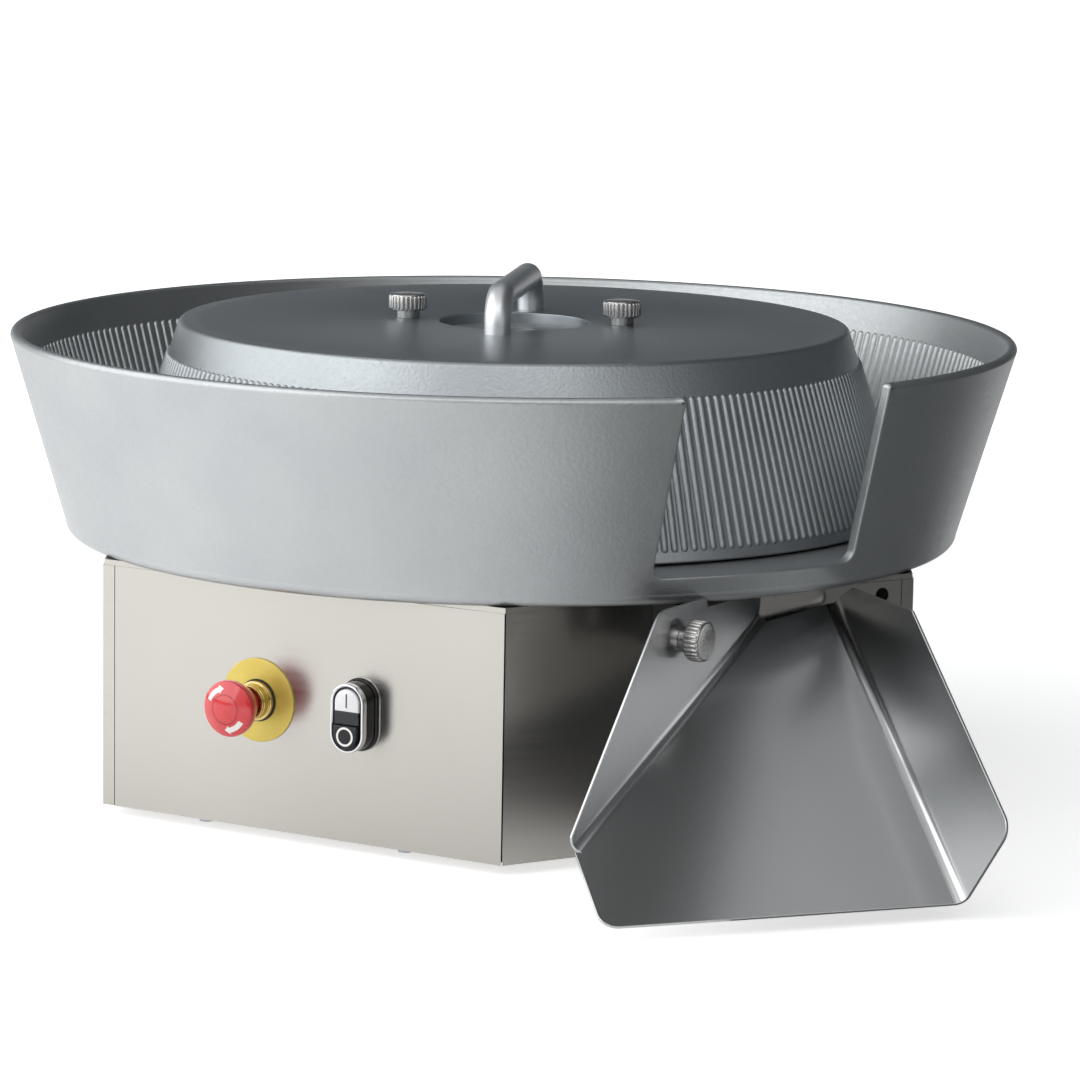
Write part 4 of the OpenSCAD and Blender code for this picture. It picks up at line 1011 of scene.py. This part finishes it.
@dataclass
class TwinButton:
    """Start and stop buttons with a lamp window between them, in a chrome-rimmed black housing."""

    x: float = 53.0
    width: float = 27.0
    height: float = 49.0
    depth: float = 20.0
    step: float = 15.0
    rim: float = 2.0
    flange: float = 1.5
    flange_depth: float = 4.0
    floor: float = 10.0
    window: float = 4.5
    play: float = 0.3
    stop_proud: float = 2.0
    frame: float = 1.5
    frame_depth: float = 2.0
    trim: float = 0.9
    thread: float = 22.0
    thread_length: float = 22.0
    sign_middle: float = 12.5
    sign_bar: Flat = (1.2, 10.0)
    sign_ring: Flat = (6.8, 5.3)
    sign_sunk: float = 0.2
    sign_proud: float = 0.06

    def outline(self, inset: float, steps: int = 16) -> list[Flat]:
        """Gives the housing's outline, an upright slot with round ends.

        Args:
            inset: how far it is drawn in all round.
            steps: pieces that each round end is cut into.

        Returns:
            The closed outline, anticlockwise.
        """
        lift, radius = (self.height - self.width) / 2, self.width / 2 - inset
        return [(radius * math.cos(a), side * lift + radius * math.sin(a))
                for side, first in ((1, 0.0), (-1, math.pi))
                for a in (math.pi * k / steps + first for k in range(steps + 1))]

    def slab(self, grow: float, low: float, high: float, soft: float) -> Form:
        """Makes a slot-shaped block with a softened front edge.

        Args:
            grow: how far its outline stands outside the housing's.
            low: back height.
            high: front height.
            soft: radius of the front edge.

        Returns:
            The form.
        """
        rows = [(self.outline(-grow), low)]
        rows += [(self.outline(soft * (1 - math.cos(a)) - grow), high - soft * (1 - math.sin(a)))
                 for a in quarter(4)]
        return Form().stacked(rows)

    def cap(self, side: int, front: float) -> Form:
        """Makes one button, a slot end cut straight along the window.

        Args:
            side: 1 for the upper button, -1 for the lower.
            front: height of its face.

        Returns:
            The form.
        """
        margin, edge = self.rim + self.frame + self.play, self.window + self.play
        return Form().stacked([
            ([(x, side * max(y, edge + inset)) for x, y in self.outline(margin + inset, 24)], z)
            for inset, z in ((0.0, self.floor + 3.0), (0.0, front - 0.8), (0.25, front - 0.25),
                             (0.8, front))])

    def build(self) -> None:
        """Makes housing, trim, window, buttons and signs."""
        place = on_panel(self.x)
        housing = self.slab(self.flange, low=self.trim - 0.1, high=self.flange_depth, soft=1.2)
        body = self.slab(0.0, low=self.flange_depth - 0.5, high=self.step, soft=0.6)
        half, rear = self.thread / 2, -self.thread_length
        thread = Form().turned([(0.0, rear), (half, rear), (half, 1.0), (0.0, 1.0)], 48)
        housing = housing.joined(body, thread).moved(place)
        fit(housing.build("twin_housing", GLOSS_BLACK), "base", "gloss_black", "twin_body")
        edge = self.slab(self.flange, low=0.0, high=self.trim, soft=0.2).moved(place)
        fit(edge.build("twin_back_trim", CHROME), "base", "chrome")
        bezel = Form().stacked([(self.outline(inset), z) for inset, z in (
            (0.0, self.step), (0.0, self.depth - 0.9), (0.3, self.depth - 0.25), (0.9, self.depth),
            (1.4, self.depth - 0.1), (self.rim, self.depth - 0.8), (self.rim, self.floor))],
            capped=False).moved(place)
        fit(bezel.build("twin_rim", CHROME), "base", "chrome", "twin_bezel")
        ledge, hollow = self.depth - self.frame_depth, self.outline(self.rim + self.frame)
        well = Form().stacked([(self.outline(self.rim), ledge), (hollow, ledge),
                               (hollow, self.floor)], capped=False)
        well.polygon([(x, y, self.floor) for x, y in hollow])
        fit(well.moved(place).build("twin_well", GLOSS_BLACK, shell=True), "base", "gloss_black")
        half = self.width / 2 - self.rim - self.frame - 0.1
        pane = rounded([(-half, -self.window, 0.5), (half, -self.window, 0.5),
                        (half, self.window, 0.5), (-half, self.window, 0.5)], closed=True, steps=3)
        lens = Form().stacked([(pane, self.floor), (pane, self.depth - 0.4),
                               ([(x * 0.96, y * 0.9) for x, y in pane], self.depth)])
        fit(lens.moved(place).build("twin_window", SMOKED_LENS), "base", "lens", "twin_lens")
        start = self.cap(1, self.depth).moved(place)
        fit(start.build("start_cap", WHITE_ABS), "start_button", "white_plastic", "start_button")
        stop = self.cap(-1, self.depth + self.stop_proud).moved(place)
        fit(stop.build("stop_cap", STOP_BLACK), "stop_button", "black_plastic", "stop_button")
        half, low, high = (self.sign_bar[0] / 2, self.sign_middle - self.sign_bar[1] / 2,
                           self.sign_middle + self.sign_bar[1] / 2)
        bar = rounded([(-half, low, 0.4), (half, low, 0.4), (half, high, 0.4), (-half, high, 0.4)],
                      closed=True, steps=3)
        sign = Form().stacked([(bar, self.depth - self.sign_sunk),
                               (bar, self.depth + self.sign_proud)]).moved(place)
        fit(sign.build("start_sign", DARK_INK), "start_button", "black_plastic")
        face = self.depth + self.stop_proud
        under, over, (wide, narrow) = face - self.sign_sunk, face + self.sign_proud, self.sign_ring
        ring = [(wide, under), (wide, over), (narrow, over), (narrow, under)]
        loop = Form().turned(ring, 48).moved(
            place @ Matrix.Translation((0.0, -self.sign_middle, 0.0)))
        fit(loop.build("stop_sign", SIGN_INK), "stop_button", "white_plastic")


@dataclass
class Chute:
    """Folded sheet chute: sloping floor, left wing held by a thumb screw and leaning right wing."""

    lip_left: Spot = (316.6, -413.2, 12.0)
    lip_angle: float = 49.0
    slope: float = 34.0
    width: float = 257.0
    length: float = 286.1
    cheek: float = 70.0
    fold_top: Flat = (195.9, 275.4)
    wing_lean: float = 79.5
    wing_height: float = 72.0
    wing_run: float = 80.0
    wing_tail: Flat = (24.0, 8.0)
    wing_round: float = 3.0
    left_low: Flat = (-2.0, 9.0)
    left_top: tuple[Spot, ...] = (
        (-147.6, 5.0, 20.0), (-81.0, 5.0, 1.0), (-78.5, -2.0, 1.0), (0.0, -2.0, 2.0))
    left_end: float = 11.0
    bend: float = 8.0
    sheet: float = 2.0
    broken_edge: float = 0.45
    corner: float = 12.0
    cheek_gap: float = 2.5
    flat_area: float = 2500.0
    inset: float = 1.2
    knob: Spot = (272.8, -229.1, 169.0)

    def floor_point(self, u: float, v: float) -> Vector:
        """Gives a point of the floor from its place along the lip and up the slope."""
        a, s = math.radians(self.lip_angle), math.radians(self.slope)
        return Vector(self.lip_left) + Vector((
            u * math.cos(a) - v * math.cos(s) * math.sin(a),
            u * math.sin(a) + v * math.cos(s) * math.cos(a), v * math.sin(s)))

    def fold(self, first: Vector, last: Vector, inward: Vector, upward: Vector
             ) -> tuple[Form, list[Vector]]:
        """Bends the sheet round a fold.

        Args:
            first: low end of the sharp fold line.
            last: high end of it.
            inward: direction across the floor, away from the fold.
            upward: direction up the wing, away from the fold.

        Returns:
            The bent strip, and its four corners: floor low and high, wing low and high.
        """
        half = inward.angle(upward) / 2
        reach = self.bend / math.tan(half)
        middle = (inward + upward).normalized() * (self.bend / math.sin(half))
        start, end = inward * reach - middle, upward * reach - middle
        turn, axis = start.angle(end), start.cross(end).normalized()
        steps = [middle + Matrix.Rotation(turn * k / 8, 3, axis) @ start for k in range(9)]
        form = Form().grid([[first + s for s in steps], [last + s for s in steps]])
        return form, [first + steps[0], last + steps[0], first + steps[-1], last + steps[-1]]

    def build(self) -> None:
        """Makes the folded sheet, gives it its thickness and breaks its cut edges."""
        low, high = self.floor_point(0.0, self.cheek), self.floor_point(*self.fold_top)
        line = (high - low).normalized()
        up_slope = (self.floor_point(0, 1) - self.floor_point(0, 0)).normalized()
        along = (self.floor_point(1, 0) - self.floor_point(0, 0)).normalized()
        normal = along.cross(up_slope)
        inward = normal.cross(line)
        inward = inward if inward.dot(along) > 0 else -inward
        rise = Vector((0.0, 0.0, 1.0))
        upward = (rise - line * rise.dot(line)).normalized()
        left_bend, left = self.fold(low, high, inward, upward)
        lean = math.radians(self.wing_lean)
        out = math.cos(lean) * along + math.sin(lean) * normal
        edge = self.width - self.inset
        right_low, right_high = self.floor_point(edge, 0), self.floor_point(edge, self.length)
        right_bend, right = self.fold(right_low, right_high, -along, out)
        form = left_bend.joined(right_bend)
        nose = rounded([(0.0, self.cheek - self.cheek_gap, 0.0), (0.0, 0.0, self.corner),
                        (self.width / 2, 0.0, 0.0)])
        form.polygon([*(self.floor_point(u, v) for u, v in nose),
                      right[0], right[1], left[1], left[0]])
        wing = rounded([(self.bend, 0.0, 0.0), (self.wing_height, 0.0, self.corner),
                        (self.wing_height, self.length - self.wing_run, self.wing_round),
                        (self.wing_tail[0], self.length - self.wing_tail[1], self.wing_round),
                        (self.bend + 2, self.length - 1.0, 0.0)])
        form.polygon([right[2], *(right_low + out * a + up_slope * b for a, b in wing), right[3]])
        x, low_y, low_z = low
        panel = rounded([(low_y + self.left_low[0], low_z + self.left_low[1], 0.0),
                         *((high.y + y, DECK + z, radius) for y, z, radius in self.left_top),
                         (high.y, high.z + self.left_end, 0.0)])
        form.polygon([left[2], *(Vector((x, y, z)) for y, z in panel), left[3]])
        sheet = form.build("chute_sheet", SATIN_CHUTE, sharp=25, shell=True)
        work = bmesh.new()
        work.from_mesh(sheet.data)
        bmesh.ops.recalc_face_normals(work, faces=work.faces)
        flat = max(work.faces, key=lambda f: f.calc_area())
        if flat.normal.dot(normal) < 0:
            bmesh.ops.reverse_faces(work, faces=work.faces)
        work.to_mesh(sheet.data)
        work.free()
        wall = sheet.modifiers.new("thickness", "SOLIDIFY")
        wall.thickness = self.sheet * MM
        wall.offset = -1.0
        wall.use_even_offset = True
        soft = sheet.modifiers.new("broken_edges", "BEVEL")
        soft.width = self.broken_edge * MM
        soft.segments = 2
        soft.limit_method = "ANGLE"
        soft.angle_limit = math.radians(50)
        settle(sheet)
        for face in sheet.data.polygons:
            face.use_smooth = face.area < self.flat_area * MM * MM
        fit(sheet, "chute", "stainless", "chute")


CAD_FINISHES: tuple[tuple[Finish, str], ...] = (
    (BRUSHED_PANEL, "base_pan control_panel chute_panel body_shell deck_plate"),
    (RUBBER, "rubber_feet shaft_seal"),
    (ZINC_PLATE, "foot_bolts deck_screws panel_screws bowl_screws gearbox_bolts bracket_screws"
                 " din_rail handle_screws hub_screw"),
    # Bracket and ledge are coloured near black, a painted shade.
    (STEEL_PAINTED_SHADE, "chute_bracket chute_ledge"),
    (GROUND_STEEL, "shaft_keys upper_bearing lower_bearing drive_shaft worm_shaft"),
    (CAST_IRON, "gearbox_housing gearbox_cover"),
    (GEAR_BRONZE, "worm_wheel"),
    (CAST_BOWL, "drive_hub"),
    (MOTOR_PAINT, "motor_body motor_fan_cover"),
    (BLACK_NYLON, "motor_terminal_box motor_fan cable_gland estop_contact_block"
                  " twin_contact_block"),
    (GREY_ABS, "contactor"),
    (RED_CAP, "estop_stem"))


def dress(nodes: dict[str, bpy.types.Object]) -> None:
    """Gives the CAD nodes that stay in view their surfaces.

    Args:
        nodes: the CAD objects by name.
    """
    for finish, names in CAD_FINISHES:
        for name in names.split():
            mesh = nodes[name].data
            mesh.materials.clear()
            mesh.materials.append(finish.material())
            LOG.info("%s keeps its CAD shape, in %s", name, finish.name)


@dataclass(frozen=True)
class Card:
    """A plain card out of view that metal reflects, placed in metres as the camera sees it.

    An upright card has two ends in its plan and two heights, a level one four corners and one.
    """

    name: str
    shade: str
    plan: tuple[Flat, ...]
    heights: tuple[float, ...]
    # A card that only mirrors see lights and shadows nothing: it paints shade into reflections.
    mirrored_only: bool = False

    def corners(self) -> list[Spot]:
        """Lays out the card.

        Returns:
            The four corners: how far right, back and up each lies.
        """
        if len(self.heights) == 1:
            return [(*place, self.heights[0]) for place in self.plan]
        (start, end), (low, high) = self.plan, self.heights
        return [(*start, low), (*end, low), (*end, high), (*start, high)]


CARDS = (
    Card("ceiling", "#c9cbcc", ((-2.2, -1.2), (1.5, -1.2), (1.5, 2.2), (-2.2, 2.2)), (2.52,)),
    Card("right_flag", "#6c6e70", ((1.5, -1.4), (1.5, 3.0)), (0.0, 2.52)),
    # A dark sheet that only reflections see: painted shade on the mirrored floor to the right.
    Card("right_painted_shade", "#a0a2a3", ((0.15, -2.5), (1.5, -2.5), (1.5, 1.0), (0.15, 0.0)), (0.004,),
         mirrored_only=True),
    Card("front_flag", "#4a4c4e", ((-1.6, -3.9), (1.8, -3.9)), (0.0, 0.9)),
    Card("back_flag", "#6e7377", ((-3.0, 2.2), (3.0, 2.2)), (0.5, 2.52)),
    Card("left_flag", "#c9cbcc", ((-2.1, -2.0), (-2.1, 1.4)), (0.0, 2.5)),
    # A dark sheet that only reflections see: a painted dark reflection on the chute floor.
    Card("chute_painted_shade", "#1b1c1d", ((0.3, -0.65), (0.3, 0.25)), (0.53, 1.2), mirrored_only=True))


def looked_at(tree: bpy.types.NodeTree) -> tuple[bpy.types.NodeSocket, bpy.types.NodeSocket]:
    """Tells the rays that show a surface from those that only light other things by it.

    Args:
        tree: the node tree of a material or world.

    Returns:
        Whether the camera, metal or glass looks here, and whether it is the camera.
    """
    ray = add(tree, "ShaderNodeLightPath").outputs
    bounced = add(tree, "ShaderNodeMath", {
        0: ray["Is Glossy Ray"], 1: ray["Is Transmission Ray"]}, operation="MAXIMUM").outputs[0]
    seen = add(tree, "ShaderNodeMath", {
        0: ray["Is Camera Ray"], 1: bounced}, operation="MAXIMUM").outputs[0]
    return seen, ray["Is Camera Ray"]


@dataclass
class Studio:
    """Camera, floor, lamps and the cards that metal reflects."""

    turn: float = 30.5
    stand: Spot = (0.0, -3348.8, 746.1)
    yaw: float = 0.0065641
    pitch: float = 0.1677752
    roll: float = 0.0171236
    lens: float = 150.0
    floor_reach: float = 40.0
    painted_shade_spot: Spot = (0.25, -0.35, 0.0)

    def camera(self) -> None:
        """Sets the camera at the photograph's place."""
        spin = Matrix.Rotation(math.radians(self.turn), 3, "Z")
        ahead = Vector((math.sin(self.yaw) * math.cos(self.pitch),
                        math.cos(self.yaw) * math.cos(self.pitch), -math.sin(self.pitch)))
        right = Vector((math.cos(self.yaw), -math.sin(self.yaw), 0.0))
        up = right.cross(ahead)
        right, up = (math.cos(self.roll) * right + math.sin(self.roll) * up,
                     math.cos(self.roll) * up - math.sin(self.roll) * right)
        pose = Matrix((spin @ right, spin @ up, spin @ -ahead)).transposed().to_4x4()
        pose.translation = spin @ Vector(self.stand) * MM
        data = bpy.data.cameras.new("camera")
        data.lens, data.sensor_width, data.clip_end = self.lens, 36.0, 100.0
        eye = placed("camera", data)
        eye.matrix_world = pose
        bpy.context.scene.camera = eye

    def spot(self, right: float, back: float, up: float) -> Vector:
        """Gives a place seen from the camera, in metres from the bowl axis at table level."""
        c, s = math.cos(math.radians(self.turn)), math.sin(math.radians(self.turn))
        return Vector((right * c - back * s, right * s + back * c, up))

    def lamp(self, name: str, at: Vector, size: Flat, power: float,
             aim: Vector = Vector((0.0, 0.0, 0.2))) -> None:
        """Hangs one soft lamp.

        Args:
            name: the lamp's name.
            at: its place in metres.
            size: width and height in metres.
            power: its power in watts.
            aim: the point it faces.
        """
        data = bpy.data.lights.new(name, "AREA")
        data.shape, data.size, data.size_y, data.energy = "RECTANGLE", size[0], size[1], power
        lamp = placed(name, data)
        lamp.location = at
        lamp.rotation_euler = (aim - at).to_track_quat("-Z", "Y").to_euler()

    def stand_card(self, card: Card) -> None:
        """Stands one card in its place.

        Args:
            card: the card's shade and corners.
        """
        mesh = bpy.data.meshes.new(card.name)
        mesh.from_pydata([tuple(self.spot(*c)) for c in card.corners()], [], [(0, 1, 2, 3)])
        paint = Finish("card_" + card.name, card.shade, card.shade, 0.9, metallic=0.0)
        mesh.materials.append(paint.material())
        board = placed(card.name, mesh)
        board.visible_camera = False
        board.visible_diffuse = board.visible_shadow = not card.mirrored_only

    def floor(self) -> None:
        """Lays the pale floor: white to the camera far off, and to metal a painted shade near the
        front right.
        """
        mesh, far = bpy.data.meshes.new("floor"), self.floor_reach
        mesh.from_pydata([(-far, -far, 0), (far, -far, 0), (far, far, 0), (-far, far, 0)], [],
                         [(0, 1, 2, 3)])
        ground = placed("floor", mesh)
        material = bpy.data.materials.new("matt_white_sweep")
        tree = bare_tree(material)
        seen, by_camera = looked_at(tree)
        here = add(tree, "ShaderNodeTexCoord").outputs["Object"]

        def rising(middle: Vector, reach: Flat, glow: Flat) -> bpy.types.NodeSocket:
            """Gives a glow that rises softly with the distance from a place."""
            away = add(tree, "ShaderNodeVectorMath", {0: here, 1: middle}, operation="DISTANCE")
            return add(tree, "ShaderNodeMapRange", {
                "Value": away.outputs["Value"], "From Min": reach[0], "From Max": reach[1],
                "To Min": glow[0], "To Max": glow[1]}, interpolation_type="SMOOTHSTEP").outputs[0]

        # To metal the glow is painted dimmer near the front right, a painted shade; far off the
        # camera sees the floor fully white.
        level = add(tree, "ShaderNodeMix", {
            0: by_camera, 2: rising(self.spot(*self.painted_shade_spot), (0.3, 0.9), (0.34, 0.62)),
            3: rising(Vector((0.0, 0.0, 0.0)), (1.1, 1.7), (0.62, 1.02))}).outputs[0]
        glow = add(tree, "ShaderNodeMath", {0: seen, 1: level}, operation="MULTIPLY").outputs[0]
        paper = add(tree, "ShaderNodeBsdfDiffuse", {"Color": linear("#f1f1f1")})
        lift = add(tree, "ShaderNodeEmission", {"Color": linear("#ffffff"), "Strength": glow})
        both = add(tree, "ShaderNodeAddShader", {0: paper.outputs[0], 1: lift.outputs[0]})
        add(tree, "ShaderNodeOutputMaterial", {"Surface": both.outputs[0]})
        mesh.materials.append(material)

    def world(self) -> None:
        """Makes the surrounding white to the eye and to metal, and dim as a light."""
        world = bpy.data.worlds.new("studio")
        bpy.context.scene.world = world
        tree = bare_tree(world)
        dim, white = (add(tree, "ShaderNodeBackground", {
            "Color": linear("#ffffff"), "Strength": level}).outputs[0] for level in (0.45, 1.0))
        mix = add(tree, "ShaderNodeMixShader", {0: looked_at(tree)[0], 1: dim, 2: white})
        add(tree, "ShaderNodeOutputWorld", {"Surface": mix.outputs[0]})

    def build(self) -> None:
        """Sets up the whole studio."""
        bpy.context.scene.view_settings.view_transform = "Standard"
        self.camera()
        self.floor()
        self.world()
        self.lamp("key_softbox", self.spot(-1.5, -0.3, 1.0), (2.8, 1.9), 38.0)
        self.lamp("overhead_scrim", self.spot(-0.3, -0.1, 2.5), (3.0, 2.2), 9.0,
                  aim=self.spot(-0.3, -0.1, 0.0))
        self.lamp("front_fill", self.spot(0.3, -2.3, 2.35), (2.0, 1.0), 10.0)
        for card in CARDS:
            self.stand_card(card)


def main() -> None:
    """Builds the whole scene over the frame."""
    logging.basicConfig(level=logging.INFO, format="%(name)s: %(message)s")
    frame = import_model()
    Studio().build()
    dress(frame["nodes"])
    Bowl().build()
    cone, chute = Cone(), Chute()
    cone.build()
    top = (Matrix.Translation((0.0, 0.0, cone.top_z))
           @ Matrix.Rotation(math.radians(cone.phase), 4, "Z"))
    LiftHandle(top).build()
    for side, name in ((-1, "cone_knob_left"), (1, "cone_knob_right")):
        place = top @ Matrix.Translation((side * cone.knob_radius, 0.0, 0.0))
        ThumbScrew(name + "_screw", name, place, stud=22.0).build()
    place = Matrix.Translation(chute.knob) @ Matrix.Rotation(math.radians(90), 4, "Y")
    ThumbScrew("chute_screw", "chute_knob", place, stud=17.0).build()
    EmergencyStop().build()
    TwinButton().build()
    chute.build()


if __name__ == "__main__":
    main()
